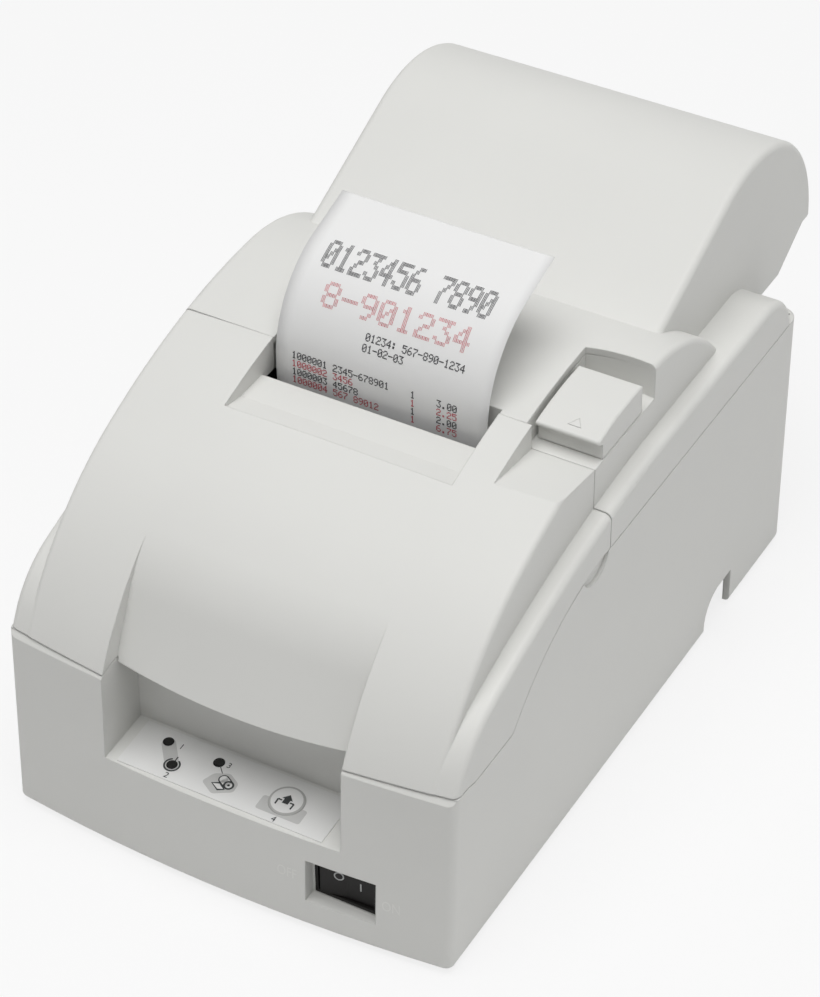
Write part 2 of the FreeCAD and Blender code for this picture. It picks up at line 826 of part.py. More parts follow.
def lower_case():
    top = size.rear_seam_height + beyond
    far = case_rear + 2 * beyond
    turned = bowed("case_turn", [
        (case_face(size.foot_height), size.foot_height),
        (case_face(size.rear_seam_height), size.rear_seam_height),
        (far, size.rear_seam_height),
        (far, size.foot_height),
    ], bow_span)
    room = box("case_room", -half, half, front - beyond, case_rear, size.foot_height, size.rear_seam_height)
    block = common("case_block", turned, room)

    def upright(limit_low, limit_high):
        def choose(edge):
            bounds = edge.BoundBox
            return bounds.XLength < 0.01 and limit_low < bounds.YMin and bounds.YMax < limit_high
        return choose

    nosed = soft_edges(block, "case_front_corners", size.front_corner_radius,
                       upright(front.value - beyond, corner.value + size.wall.value))
    tailed = soft_edges(nosed, "case_rear_corners", size.rear_corner_radius,
                        upright(case_rear.value - 1, rear.value))
    low_edge = size.foot_height.value + 0.01
    shell = soft_edges(tailed, "case_bottom_edges", size.bottom_edge_radius,
                       lambda edge: edge.BoundBox.ZMax < low_edge)

    inner_turn = bowed("case_hollow_turn", [
        (case_face(case_floor) + size.wall, case_floor),
        (case_face(top) + size.wall, top),
        (far, top),
        (far, case_floor),
    ], bow_span)
    inner_room = box("case_hollow_room", -inner_half, inner_half, front - beyond, bay_front - size.wall, case_floor,
                     top)
    hollow = common("case_hollow", inner_turn, inner_room)
    upper_hollow = box("case_upper_hollow", -inner_half, inner_half, bay_front - 2 * size.wall,
                       case_rear - size.wall, bay_ceiling, top)
    above = side_prism("case_top_cut", seam_line(0) + [(split, top), (front - beyond, top)], -half - 1, half + 1)
    slope = size.front_bevel_height / size.front_bevel_depth
    bevel = bowed("case_front_bevel", [
        (front - 1, seam - size.front_bevel_height - slope),
        (front + size.front_bevel_depth + 1, seam + slope),
        (front - 1, seam + slope),
    ], bow_span)
    opened = cut("case_opened", shell, [hollow, upper_hollow])

    # Pocket walls of the panel and the switch, the ears of the front hinge and the posts of what stands inside
    floor_front = size.recess_floor_front_height
    block_top = size.front_axis_height + bump_radius()
    panel_block = common("panel_block", shell, side_prism("panel_block_room", [
        (front - beyond, floor_front - size.wall - recess_slope * beyond),
        (recess_back + size.wall, floor_front - size.wall + size.recess_floor_rise),
        (recess_back + size.wall, block_top),
        (front - beyond, block_top),
    ], -recess_half - size.wall, recess_half + size.wall))
    switch_back = switch_floor_y + size.wall
    switch_half = size.switch_recess_width / 2
    switch_block = common("switch_block", shell, box(
        "switch_block_room", size.switch_centre_x - switch_half - size.wall,
        size.switch_centre_x + switch_half + size.wall, front - beyond, switch_back,
        size.switch_recess_low - size.wall, size.switch_recess_high + size.wall))
    added = [panel_block, switch_block]

    ear_low = size.front_arm_left - size.front_ear_gap - size.front_ear_thickness
    ear_high = size.front_arm_left + size.front_arm_width + size.front_ear_gap
    ear_reach = size.front_knuckle_radius + 1

    def ear(name, low, high):
        return box(name, low, high, corner - size.wall / 2, front_axis_y + ear_reach,
                   size.front_axis_height - ear_reach, size.front_axis_height + ear_reach)

    added += both_sides("front_ear_inner", ear_low, ear_low + size.front_ear_thickness, ear)
    added += both_sides("front_ear_outer", ear_high, ear_high + size.front_ear_thickness, ear)

    def post(name, x, y, radius, high):
        return rod(name, "z", x, y, case_floor - size.wall / 2, radius, high - case_floor + size.wall / 2)

    for number, (x, y) in enumerate(mech_post_places()):
        added.append(post("mech_post_" + str(number), x, y, size.mech_post_radius, size.base_height))
    for number, (x, y) in enumerate(board_boss_places()):
        added.append(post("board_boss_" + str(number), x, y, size.board_boss_radius, size.board_height))
    leg_top = floor_front
    board_top = floor_front - size.panel_board_drop

    def panel_leg(name, low, high):
        return box(name, low, high, panel_board_front() + size.panel_leg_width,
                   panel_board_front() + 2 * size.panel_leg_width, board_top, leg_top)

    leg_high = size.panel_board_width / 2
    added += both_sides("panel_leg", leg_high - size.panel_leg_width, leg_high, panel_leg)

    filled = fuse("case_filled", [opened] + added)

    # Openings
    recess = side_prism("panel_recess", [
        (front - beyond, floor_front - recess_slope * beyond),
        (recess_back, floor_front + size.recess_floor_rise),
        (recess_back, seam + beyond),
        (front - beyond, seam + beyond),
    ], -recess_half, recess_half)
    switch_recess = box(
        "switch_recess", size.switch_centre_x - switch_half, size.switch_centre_x + switch_half,
        front - beyond, switch_floor_y, size.switch_recess_low, size.switch_recess_high)
    opening_half = size.switch_opening_width / 2
    switch_hole = box(
        "switch_hole", size.switch_centre_x - opening_half, size.switch_centre_x + opening_half, front,
        switch_back + 1, size.switch_height - size.switch_opening_height / 2,
        size.switch_height + size.switch_opening_height / 2)
    post_inner = inner_half - size.bay_post_width
    bay = [box("bay_middle", -post_inner, post_inner, bay_front, case_rear + 1, size.foot_height - 1,
               size.bay_height)]
    bay += both_sides("bay_side", post_inner - 1, inner_half, lambda name, low, high: box(
        name, low, high, bay_front, case_rear - size.bay_post_length, size.foot_height - 1, size.bay_height))
    notch_front = bay_front + size.cable_notch_from_bay
    notch_rear = notch_front + size.cable_notch_length
    notch_top = size.foot_height + size.cable_notch_height
    notch = side_prism("cable_notch", [
        (notch_front, size.foot_height - 1),
        (notch_rear, size.foot_height - 1),
        (notch_rear, notch_top),
        (notch_front + size.cable_notch_radius, notch_top),
        (notch_front, notch_top - size.cable_notch_radius, size.cable_notch_radius),
    ], inner_half - 1, half + 1)
    plate_half = size.plate_width / 2 - size.plate_margin
    plate_hole = box("plate_hole", -plate_half, plate_half, bay_front - 2 * size.wall, bay_front + 1,
                     size.board_height - size.socket_room, size.plate_high - size.plate_margin)
    screw_holes = [rod("plate_hole_" + str(number), "y", x, bay_front - 2 * size.wall, z,
                       size.plate_screw_radius + size.screw_clearance, 3 * size.wall)
                   for number, (x, z) in enumerate(plate_screw_places())]
    grip_y = split - size.grip_notch_from_split
    grips = both_sides("grip_notch", half - size.grip_notch_depth, half + 1, lambda name, low, high: rod(
        name, "x", low, grip_y, size.grip_notch_height, size.grip_notch_radius, high - low))
    drill = [rod("mech_hole_" + str(number), "z", x, y, size.base_height - size.mech_screw_length,
                 size.mech_screw_radius + size.screw_clearance, size.mech_screw_length + 1)
             for number, (x, y) in enumerate(mech_post_places())]
    pins = both_sides("ear_bore", ear_low - 1, ear_high + size.front_ear_thickness + 1, lambda name, low, high: rod(
        name, "x", low, front_axis_y, size.front_axis_height, size.hinge_pin_radius, high - low))
    lamps = [panel_rod("lamp_hole_" + str(number), x, along, size.lamp_radius + size.lamp_clearance, -beyond, 1)
             for number, (x, along) in enumerate(lamp_places())]
    feed_hole = panel_rod("feed_hole", size.feed_button_x, size.feed_button_row,
                          size.feed_button_radius + size.feed_button_clearance, -beyond, 1)
    cover_hole = box(
        "setting_recess", size.setting_cover_x, size.setting_cover_x + size.setting_cover_width,
        front + size.setting_cover_from_front, front + size.setting_cover_from_front + size.setting_cover_length,
        size.foot_height - 1, size.foot_height + size.setting_cover_thickness + size.setting_cover_gap)
    tools = [above, bevel, recess, switch_recess, switch_hole, notch, plate_hole, feed_hole, cover_hole]
    node(cut("lower_case_cut", filled, tools + bay + screw_holes + grips + drill + pins + lamps), "lower_case")


def mech_post_places():
    front_row = front + size.mech_front_from_front + size.mech_post_inset
    rear_row = front + size.mech_front_from_front + size.mech_length - size.mech_post_inset
    return [(x, y) for x in (-size.mech_post_x, size.mech_post_x) for y in (front_row, rear_row)]


def board_front():
    return front + size.board_front_from_front


def board_rear():
    return bay_front - size.board_rear_from_bay


def board_boss_places():
    x_place = size.board_width / 2 - size.board_boss_inset
    rows = (board_front() + size.board_boss_inset, board_rear() - size.board_boss_inset)
    return [(x, y) for x in (-x_place, x_place) for y in rows]


def plate_screw_places():
    x_place = size.plate_width / 2 - size.plate_margin / 2
    z_place = (size.plate_low + size.plate_high) / 2
    return [(-x_place, z_place), (x_place, z_place)]


# Panel pieces stand square to the sloped floor of the recess

def panel_tilt():
    slope = recess_slope.value
    return math.degrees(math.atan(slope))


def panel_rod(name, x, along, radius, low, high):
    """A rod square to the panel floor; low and high are measured from that floor."""
    length = root(1 + recess_slope * recess_slope)
    low = lift(low)
    item = document.addObject("Part::Cylinder", name)
    item.Placement.Rotation = FreeCAD.Rotation(FreeCAD.Vector(1, 0, 0), panel_tilt())
    bind(item, "Radius", radius)
    bind(item, "Height", lift(high) - low)
    y = front + along - low * recess_slope / length
    z = size.recess_floor_front_height + along * recess_slope + low / length
    place(item, x, y, z)
    return item


def panel_slab(name, x_low, x_high, along_low, along_high, low, high):
    length = root(1 + recess_slope * recess_slope)
    low = lift(low)
    item = document.addObject("Part::Box", name)
    item.Placement.Rotation = FreeCAD.Rotation(FreeCAD.Vector(1, 0, 0), panel_tilt())
    bind(item, "Length", lift(x_high) - x_low)
    bind(item, "Width", (along_high - along_low) * length)
    bind(item, "Height", lift(high) - low)
    y = front + along_low - low * recess_slope / length
    z = size.recess_floor_front_height + along_low * recess_slope + low / length
    place(item, x_low, y, z)
    return item


def lamp_places():
    return [
        (size.error_lamp_x, size.rear_lamp_row),
        (size.power_lamp_x, size.front_lamp_row),
        (size.paper_lamp_x, size.middle_lamp_row),
    ]


def panel_board_front():
    return front + size.panel_board_from_front


def panel_pieces():
    left = -recess_half + size.label_side_margin
    sheet_slab = panel_slab(
        "label_sheet", left, left + size.label_width, size.label_front_margin,
        size.recess_depth - size.label_back_margin, 0, size.label_thickness)
    holes = [panel_rod("label_hole_" + str(number), x, along, size.lamp_radius + size.lamp_clearance, -1, 1)
             for number, (x, along) in enumerate(lamp_places())]
    holes.append(panel_rod("label_feed_hole", size.feed_button_x, size.feed_button_row,
                           size.feed_button_radius + size.feed_button_clearance, -1, 1))
    node(cut("panel_label_cut", sheet_slab, holes), "panel_label")

    board_high = size.recess_floor_front_height - size.panel_board_drop
    board_low = board_high - size.panel_board_thickness
    node(box("panel_board_box", -size.panel_board_width / 2, size.panel_board_width / 2, panel_board_front(),
             panel_board_front() + size.panel_board_depth, board_low, board_high), "panel_board")

    depth = size.panel_board_drop
    length = root(1 + recess_slope * recess_slope)
    lamps = [panel_rod("lamp_" + str(number), x, along, size.lamp_radius,
                       size.lamp_radius * recess_slope - (depth + along * recess_slope) * length, size.label_thickness)
             for number, (x, along) in enumerate(lamp_places())]
    node(group("lamp_group", lamps), "status_lamps")

    top = size.label_thickness + size.feed_button_rise
    low = (size.feed_button_radius - size.feed_button_row) * recess_slope + size.feed_button_travel
    low = low + size.feed_button_clearance - depth
    cap = panel_rod("feed_cap", size.feed_button_x, size.feed_button_row, size.feed_button_radius, low, top)
    node(soft_edges(cap, "feed_button_edge", size.feed_button_rim,
                    lambda edge: edge.CenterOfMass.z > cap.Shape.CenterOfMass.z), "feed_button")


def power_switch():
    x = size.switch_centre_x
    z = size.switch_height
    opening = size.switch_opening_width / 2
    tall = size.switch_opening_height / 2
    floor_y = switch_floor_y
    inner = opening - size.switch_frame_wall
    inner_tall = tall - size.switch_frame_wall
    back_y = floor_y + size.switch_body_depth
    body = box("switch_body", x - opening, x + opening, floor_y, back_y, z - tall, z + tall)
    flange_out = size.switch_flange
    flange = box("switch_flange", x - opening - flange_out, x + opening + flange_out,
                 floor_y - size.switch_frame_rise, floor_y, z - tall - flange_out, z + tall + flange_out)
    room = box("switch_room", x - inner, x + inner, floor_y - 2 * size.switch_frame_rise,
               floor_y + size.rocker_depth + size.rocker_dish, z - inner_tall, z + inner_tall)
    pivot_y = floor_y + size.rocker_depth / 2
    bore = rod("switch_bore", "z", x, pivot_y, z - tall - 1, size.rocker_pin_radius + size.rocker_pin_clearance,
               size.switch_opening_height + 2)
    node(cut("switch_housing_cut", fuse("switch_housing_fuse", [body, flange]), [room, bore]), "power_switch_housing")

    wide = size.rocker_width / 2
    rocker_front = floor_y - size.switch_frame_rise + size.rocker_setback
    paddle = plan_prism("rocker_paddle", [
        (x - wide, rocker_front - size.rocker_dish),
        (x, rocker_front),
        (x + wide, rocker_front - size.rocker_dish),
        (x + wide, rocker_front + size.rocker_depth / 3),
        (x, floor_y + size.rocker_depth),
        (x - wide, rocker_front + size.rocker_depth / 3),
    ], z - size.rocker_height / 2, z + size.rocker_height / 2)
    pin = rod("rocker_pin", "z", x, pivot_y, z - tall, size.rocker_pin_radius, size.switch_opening_height)
    rocker = fuse("rocker_fuse", [paddle, pin])
    pivot = FreeCAD.Vector(x.value, pivot_y.value, z.value)
    lean = FreeCAD.Rotation(FreeCAD.Vector(0, 0, 1), -size.rocker_tilt.value)
    rocker.Placement = FreeCAD.Placement(pivot - lean.multVec(pivot), lean)
    node(rocker, "power_rocker")


# Front cover

def strip_points(shift):
    """Face of the middle strip on the middle plane: its foot, its bend and the place where it leaves the dome."""
    top_y = dome_face(size.strip_top_height, 0) - dome_bow
    dome_sine = (size.strip_top_height - dome_front_z) / size.dome_front_radius
    dome_cosine = root(1 - dome_sine * dome_sine)
    radius = size.strip_bend_radius
    bend_y = top_y - radius * (cosine(size.strip_lean) - dome_cosine)
    bend_z = size.strip_top_height - radius * (dome_sine - sine(size.strip_lean))
    foot_y = bend_y - (bend_z - size.strip_foot_height) * strip_slope
    return [
        (foot_y + shift, size.strip_foot_height),
        (bend_y + shift, bend_z),
        (top_y + shift, size.strip_top_height, -radius),
    ]


def front_cover():
    level = seam + size.seam_gap
    cover_end = split - size.cover_gap / 2
    tall = size.dome_top_height + beyond

    def shift(outline):
        return [(step[0] - dome_bow,) + tuple(step[1:]) for step in outline]

    dome_turn = bowed("front_dome_turn", shift(dome_front_outline(level, 0, split + beyond)), bow_span)
    dome_room = box("front_dome_room", -dome_half, dome_half, front - beyond, cover_end, level, tall)
    dome = soft_edges(common("front_dome", dome_turn, dome_room), "front_dome_soft", size.dome_edge_radius,
                      on_side(dome_half, level + size.wall))
    rail_turn = bowed("front_rail_turn", shift(rail_front_outline(level, 0, split + beyond)), bow_span)
    rails = []
    for name, low, high in (("right", dome_half - size.wall, half), ("left", -half, size.wall - dome_half)):
        room = box("front_rail_room_" + name, low, high, front - beyond, cover_end, level, tall)
        rail = common("front_rail_" + name, rail_turn, room)
        rails.append(soft_edges(rail, "front_rail_soft_" + name, size.rail_edge_radius,
                                on_side(half, level + size.wall)))
    outer = fuse("front_cover_outer", [dome] + rails)

    dome_hollow = side_prism("front_dome_hollow", dome_front_outline(level - 1, size.wall, split),
                             size.wall - dome_half, dome_half - size.wall)
    rail_hollow = side_prism("front_rail_hollow", rail_front_outline(level - 1, size.wall, split),
                             -inner_half, inner_half)
    shell = cut("front_cover_shell", outer, [dome_hollow, rail_hollow])

    # Backing of the middle strip, of the shelf before the paper slot and of the button scoop
    back = strip_points(size.strip_wall)
    backing = side_prism("strip_backing", [
        (dome_face(level, size.wall / 2), level),
        (dome_face(size.strip_top_height, size.wall / 2), size.strip_top_height,
         -(size.dome_front_radius - size.wall / 2)),
        (back[2][0] + size.wall, size.strip_top_height),
        (back[1][0], back[1][1], size.strip_bend_radius),
        (back[0][0] + recess_drift(level), level),
    ], -recess_half - size.wall, recess_half + size.wall)
    face = strip_points(0)
    visor = side_prism("strip_visor", [
        (face[0][0], size.strip_foot_height),
        (face[0][0] + recess_drift(size.rail_start_height), size.rail_start_height),
        (back[0][0] + recess_drift(size.rail_start_height), size.rail_start_height),
        (back[0][0], size.strip_foot_height),
    ], size.strip_side_clearance - recess_half, recess_half - size.strip_side_clearance)
    shelf_start = front + size.shelf_from_front
    slab_low = shelf_height - size.wall
    skin = size.wall / 2
    shelf = side_prism("shelf_backing", [
        (shelf_start, slab_low),
        (cover_end, slab_low),
        (cover_end, dome_height(cover_end, skin)),
        (shelf_start, dome_height(shelf_start, skin), size.dome_middle_radius - skin),
    ], -slot_half - size.wall, slot_half + size.wall)
    scoop_start = front + size.scoop_start_from_front
    scoop_start_height = dome_height(scoop_start, 0)
    scoop = side_prism("scoop_backing", [
        (scoop_start, scoop_start_height - size.scoop_backing),
        (cover_end, scoop_end_height - size.wall),
        (cover_end, dome_height(cover_end, skin)),
        (scoop_start, dome_height(scoop_start, skin), size.dome_middle_radius - skin),
    ], size.scoop_left - size.wall, dome_half - size.wall / 2)
    filled = fuse("front_cover_filled", [shell, backing, visor, shelf, scoop])

    # Cuts
    below = side_prism("front_cover_seam", seam_line(size.seam_gap) + [
        (split, size.strip_foot_height - 2 * beyond),
        (front - beyond, size.strip_foot_height - 2 * beyond),
    ], -half - 1, half + 1)
    side_below = both_sides("front_seam_side", recess_half, half + 1, lambda name, low, high: common(
        name, below, box(name + "_room", low, high, front - beyond, split + 1, 0, tall)))
    strip_turn = bowed("strip_turn", [
        (front - beyond, size.strip_foot_height - beyond),
        (face[0][0] - strip_slope * beyond, size.strip_foot_height - beyond),
        (face[1][0], face[1][1]),
        (face[2][0], size.strip_top_height, -size.strip_bend_radius),
        (front - beyond, size.strip_top_height),
    ], bow_span)
    strip_room = box("strip_room", -recess_half, recess_half, front - 2 * beyond, split, 0, tall)
    strip_cut = common("strip_cut", strip_turn, strip_room)
    arch_radius = (recess_half * recess_half + size.strip_arch * size.strip_arch) / (2 * size.strip_arch)
    arch = face_prism("strip_arch", [
        (-recess_half - 1, size.strip_foot_height - beyond),
        (recess_half + 1, size.strip_foot_height - beyond),
        (recess_half, size.strip_foot_height + size.strip_arch),
        (-recess_half, size.strip_foot_height + size.strip_arch, -arch_radius),
    ], front - beyond, recess_back + size.wall)
    pin_clear = both_sides("front_bump_clear", recess_half - size.strip_side_clearance, half + 1,
                           lambda name, low, high: rod(name, "x", low, front_axis_y, size.front_axis_height,
                                                       bump_radius() + size.seam_gap, high - low))
    shelf_cut = side_prism("shelf_cut", [
        (shelf_start, dome_height(shelf_start, 0)),
        (front + size.shelf_level_from_front, shelf_height),
        (split + 1, shelf_height),
        (split + 1, tall),
        (shelf_start, tall),
    ], -slot_half, slot_half)
    slot_cut = box("slot_cut", -slot_half, slot_half, front + size.lip_from_front, split + 1, slab_low - 1, tall)
    scoop_slope = (scoop_end_height - scoop_start_height) / (split - scoop_start)
    scoop_cut = side_prism("scoop_cut", [
        (scoop_start - size.wall, scoop_start_height - scoop_slope * size.wall),
        (split + 1, scoop_end_height + scoop_slope),
        (split + 1, tall),
        (scoop_start - size.wall, tall),
    ], size.scoop_left, half + 1)
    carved = cut("front_cover_carved", filled, side_below + pin_clear + [
        strip_cut, arch, shelf_cut, slot_cut, scoop_cut])

    # Gooseneck arms to the front hinge
    foot_y = front_axis_y + size.front_arm_reach
    arm_half = size.front_knuckle_radius

    def arm(name, low, high):
        leg = side_prism(name + "_leg", [
            (foot_y - size.front_arm_depth, size.front_axis_height - arm_half),
            (foot_y, size.front_axis_height - arm_half),
            (foot_y, dome_edge_height(foot_y)),
            (foot_y - size.front_arm_depth, dome_edge_height(foot_y - size.front_arm_depth)),
        ], low, high)
        bar = box(name + "_bar", low, high, front_axis_y, foot_y, size.front_axis_height - arm_half,
                  size.front_axis_height + arm_half)
        knuckle = rod(name + "_knuckle", "x", low, front_axis_y, size.front_axis_height, arm_half, high - low)
        return fuse(name, [leg, bar, knuckle])

    arm_low = size.front_arm_left
    arm_high = size.front_arm_left + size.front_arm_width
    arms = both_sides("front_arm", arm_low, arm_high, arm)
    joined = fuse("front_cover_joined", [carved] + arms)
    bores = both_sides("front_arm_bore", arm_low - 1, arm_high + 1, lambda name, low, high: rod(
        name, "x", low, front_axis_y, size.front_axis_height, size.hinge_pin_radius + size.hinge_pin_clearance,
        high - low))
    node(cut("front_cover_cut", joined, bores), "front_cover")

    ear_end = arm_high + size.front_ear_gap + size.front_ear_thickness
    ear_start = arm_low - size.front_ear_gap - size.front_ear_thickness
    node(group("front_pin_group", both_sides("front_pin", ear_start, ear_end, lambda name, low, high: rod(
        name, "x", low, front_axis_y, size.front_axis_height, size.hinge_pin_radius, high - low))), "front_hinge_pins")


def recess_drift(height):
    """How far the straight face of the middle strip runs back between its foot and a height."""
    return (height - size.strip_foot_height) * strip_slope


def bump_radius():
    drop = seam - size.front_axis_height
    bow_at_recess = bow_axis - root(bow_radius * bow_radius - recess_half * recess_half)
    reach = front_axis_y - bow_at_recess - size.front_bevel_depth
    return root(reach * reach + drop * drop)


def dome_edge_height(y):
    """Height in the front dome's wall at a place before the blend of its two arcs."""
    radius = size.dome_front_radius - size.wall / 2
    reach = dome_front_y - y
    return dome_front_z + root(radius * radius - reach * reach)


# Rear cover

def hump_points(inset):
    centre_y = rear - size.hump_radius
    normal_y = sine(size.hump_face_angle)
    normal_z = cosine(size.hump_face_angle)
    radius = size.hump_radius - inset
    tangent = (centre_y - radius * normal_y, size.hump_centre_height + radius * normal_z)
    start_y = rear - size.hump_start_from_rear + inset
    start_z = tangent[1] - (tangent[0] - start_y) * normal_y / normal_z
    return (start_y, start_z), tangent, (rear - inset, size.hump_centre_height)


def rear_cover():
    level = size.rear_seam_height + size.seam_gap
    cover_start = split + size.cover_gap / 2
    tall = size.dome_top_height + beyond
    dome = side_prism("rear_dome", dome_rear_outline(level, 0, cover_start), -dome_half, dome_half)
    round_edges(dome, "rear_dome_soft", size.dome_edge_radius, on_side(dome_half, size.rail_top_height))
    rail = side_prism("rear_rail", rail_rear_outline(level, 0, cover_start), -half, half)
    round_edges(rail, "rear_rail_soft", size.rail_edge_radius, on_side(half, level + size.wall))
    start, tangent, back = hump_points(0)
    hump_half = size.hump_width / 2
    hump = side_prism("hump", [
        (start[0], size.dome_foot_height),
        start,
        tangent,
        (back[0], back[1], -size.hump_radius),
        (back[0], size.hump_foot_height),
        (back[0] - size.hump_step_from_rear, size.hump_foot_height),
        (back[0] - size.hump_side_end_from_rear, size.hump_side_height),
        (dome_back(size.dome_foot_height, 0), size.hump_side_height),
    ], -hump_half, hump_half)
    round_edges(hump, "hump_soft", size.hump_edge_radius, on_side(hump_half, size.hump_foot_height))
    outer = fuse("rear_cover_outer", [dome, rail, hump])

    dome_hollow = side_prism("rear_dome_hollow", dome_rear_outline(level - 1, size.wall, split),
                             size.wall - dome_half, dome_half - size.wall)
    rail_hollow = side_prism("rear_rail_hollow", rail_rear_outline(level - 1, size.wall, split), -inner_half,
                             inner_half)
    inner_start, inner_tangent, inner_back = hump_points(size.wall)
    hump_hollow = side_prism("hump_hollow", [
        (inner_start[0], level),
        inner_start,
        inner_tangent,
        (inner_back[0], inner_back[1], -(size.hump_radius - size.wall)),
        (inner_back[0], level - beyond),
        (inner_start[0] + beyond, level - beyond),
    ], size.wall - hump_half, hump_half - size.wall)
    shell = cut("rear_cover_shell", outer, [dome_hollow, rail_hollow, hump_hollow])

    # Backing of the button well and the guide behind the paper slot
    skin = size.wall / 2
    well_end = front + size.well_end_from_front
    well_back = well_end + size.well_bulge + size.wall
    well = side_prism("well_backing", [
        (cover_start, well_floor_height - size.wall),
        (well_back, well_floor_height - size.wall),
        (well_back, size.dome_top_height - size.wall),
        (cover_start, dome_height(cover_start, skin)),
    ], size.well_left - size.wall, dome_half - skin)
    slot_rear = front + size.slot_rear_from_front
    guide = box("paper_guide", -slot_half - size.wall, slot_half + size.wall, slot_rear, slot_rear + size.wall,
                dome_height(slot_rear, 0) - size.guide_drop, dome_height(slot_rear, skin))
    rear_arm_high = size.rear_arm_left + size.rear_arm_width

    def arm(name, low, high):
        web = side_prism(name + "_web", [
            (rear_axis_y, size.rear_axis_height - size.rear_knuckle_radius),
            (rear - skin, size.hump_centre_height),
            (rear - size.wall, size.hump_centre_height + 3 * size.rear_knuckle_radius),
            (rear_axis_y, size.rear_axis_height + size.rear_knuckle_radius),
        ], low, high)
        knuckle = rod(name + "_knuckle", "x", low, rear_axis_y, size.rear_axis_height, size.rear_knuckle_radius,
                      high - low)
        return fuse(name, [web, knuckle])

    arms = both_sides("rear_arm", size.rear_arm_left, rear_arm_high, arm)
    filled = fuse("rear_cover_filled", [shell, well, guide] + arms)

    # Cuts
    well_cut = plan_prism("well_cut", [
        (size.well_left, split - 1),
        (half + 1, split - 1),
        (half + 1, well_end),
        (size.well_left, well_end, well_arc()),
    ], well_floor_height, tall)
    slot_cut = box("rear_slot_cut", -slot_half, slot_half, split - 1, slot_rear, level, tall)
    stem_y = button_front() + size.stem_from_button_front
    stem_x = size.button_left + size.button_width / 2 - size.stem_width / 2
    stem_slot = box("stem_slot", stem_x - size.stem_room, stem_x + size.stem_width + size.stem_room,
                    stem_y - size.stem_room, stem_y + size.stem_length + size.button_travel + size.stem_room,
                    well_floor_height - 2 * size.wall, well_floor_height + 1)
    bores = both_sides("rear_arm_bore", size.rear_arm_left - 1, rear_arm_high + 1, lambda name, low, high: rod(
        name, "x", low, rear_axis_y, size.rear_axis_height, size.rear_pin_radius + size.hinge_pin_clearance,
        high - low))
    carved = cut("rear_cover_carved", filled, [well_cut, slot_cut, stem_slot] + bores)
    rib_low = dome_height(slot_rear, 0) - size.guide_drop
    wide = size.paper_width / 2
    ribs = both_sides("guide_rib", wide - size.guide_rib_width, wide, lambda name, low, high: box(
        name, low, high, paper_y + size.paper_thickness + size.guide_rib_gap, slot_rear + skin, rib_low,
        rib_low + size.guide_rib_height))
    node(fuse("rear_cover_ribbed", [carved] + ribs), "rear_cover")

    # Cover-open button with its stem and latch hook
    tip = button_front()
    foot = well_floor_height + size.button_floor_gap
    cap = side_prism("button_cap", [
        (tip + size.button_undercut, foot),
        (tip + size.button_length, foot),
        (tip + size.button_length, button_rear_height),
        (tip, button_front_height, size.button_crown_radius),
        (tip, button_front_height - size.button_lip),
        (tip + size.button_undercut, button_front_height - size.button_lip - size.button_undercut / 2),
    ], size.button_left, size.button_left + size.button_width)
    round_edges(cap, "button_cap_soft", size.button_edge_radius,
                lambda edge: edge.CenterOfMass.z > button_front_height.value - size.button_lip.value / 2)
    stem = box("button_stem", stem_x, stem_x + size.stem_width, stem_y, stem_y + size.stem_length,
               foot - size.stem_drop, foot + 1)
    hook_top = foot - size.stem_drop
    hook = box("latch_hook", stem_x + size.stem_width / 2, stem_x + size.stem_width, stem_y - size.hook_reach,
               stem_y + size.stem_length, hook_top - size.hook_thickness, hook_top + 1)
    node(fuse("button_fuse", [cap, stem, hook]), "cover_open_button")


def button_front():
    return split + size.button_front_gap


def well_arc():
    """Radius of the shallow arc at the back of the button well."""
    width = half + 1 - size.well_left
    return (width * width / 4 + size.well_bulge * size.well_bulge) / (2 * size.well_bulge)


def rear_hinge():
    top = size.housing_top_height
    outline = [
        (case_rear, size.housing_foot_height),
        (rear - size.housing_waist_from_rear, size.housing_waist_height),
        (rear - size.housing_rear_from_rear, size.housing_lip_height),
        (rear - size.housing_rear_from_rear, top),
        (case_rear, top),
    ]
    half_width = size.housing_width / 2
    block = side_prism("housing_block", outline, -half_width, half_width)
    bore = rod("housing_bore", "x", -half_width - 1, rear_axis_y, size.rear_axis_height, size.rear_pin_radius,
               size.housing_width + 2)
    node(cut("rear_hinge_housing_cut", block, [bore]), "rear_hinge_housing")
    reach = size.rear_arm_left + size.rear_arm_width + 1
    node(rod("rear_pin", "x", -reach, rear_axis_y, size.rear_axis_height, size.rear_pin_radius, 2 * reach),
         "rear_hinge_pin")


# Paper

def receipt_points(thick):
    """Side outline of the receipt: upright in the slot, then an arc that leans back, then a straight tail."""
    near = paper_y + thick
    centre_y = paper_y + size.receipt_radius
    radius = size.receipt_radius - thick
    turn = size.receipt_turn
    end_y = centre_y - radius * cosine(turn)
    end_z = size.receipt_bend_height + radius * sine(turn)
    return [
        (near, size.receipt_foot_height),
        (near, size.receipt_bend_height),
        (end_y, end_z),
        (end_y + size.receipt_tail * sine(turn), end_z + size.receipt_tail * cosine(turn)),
    ], radius


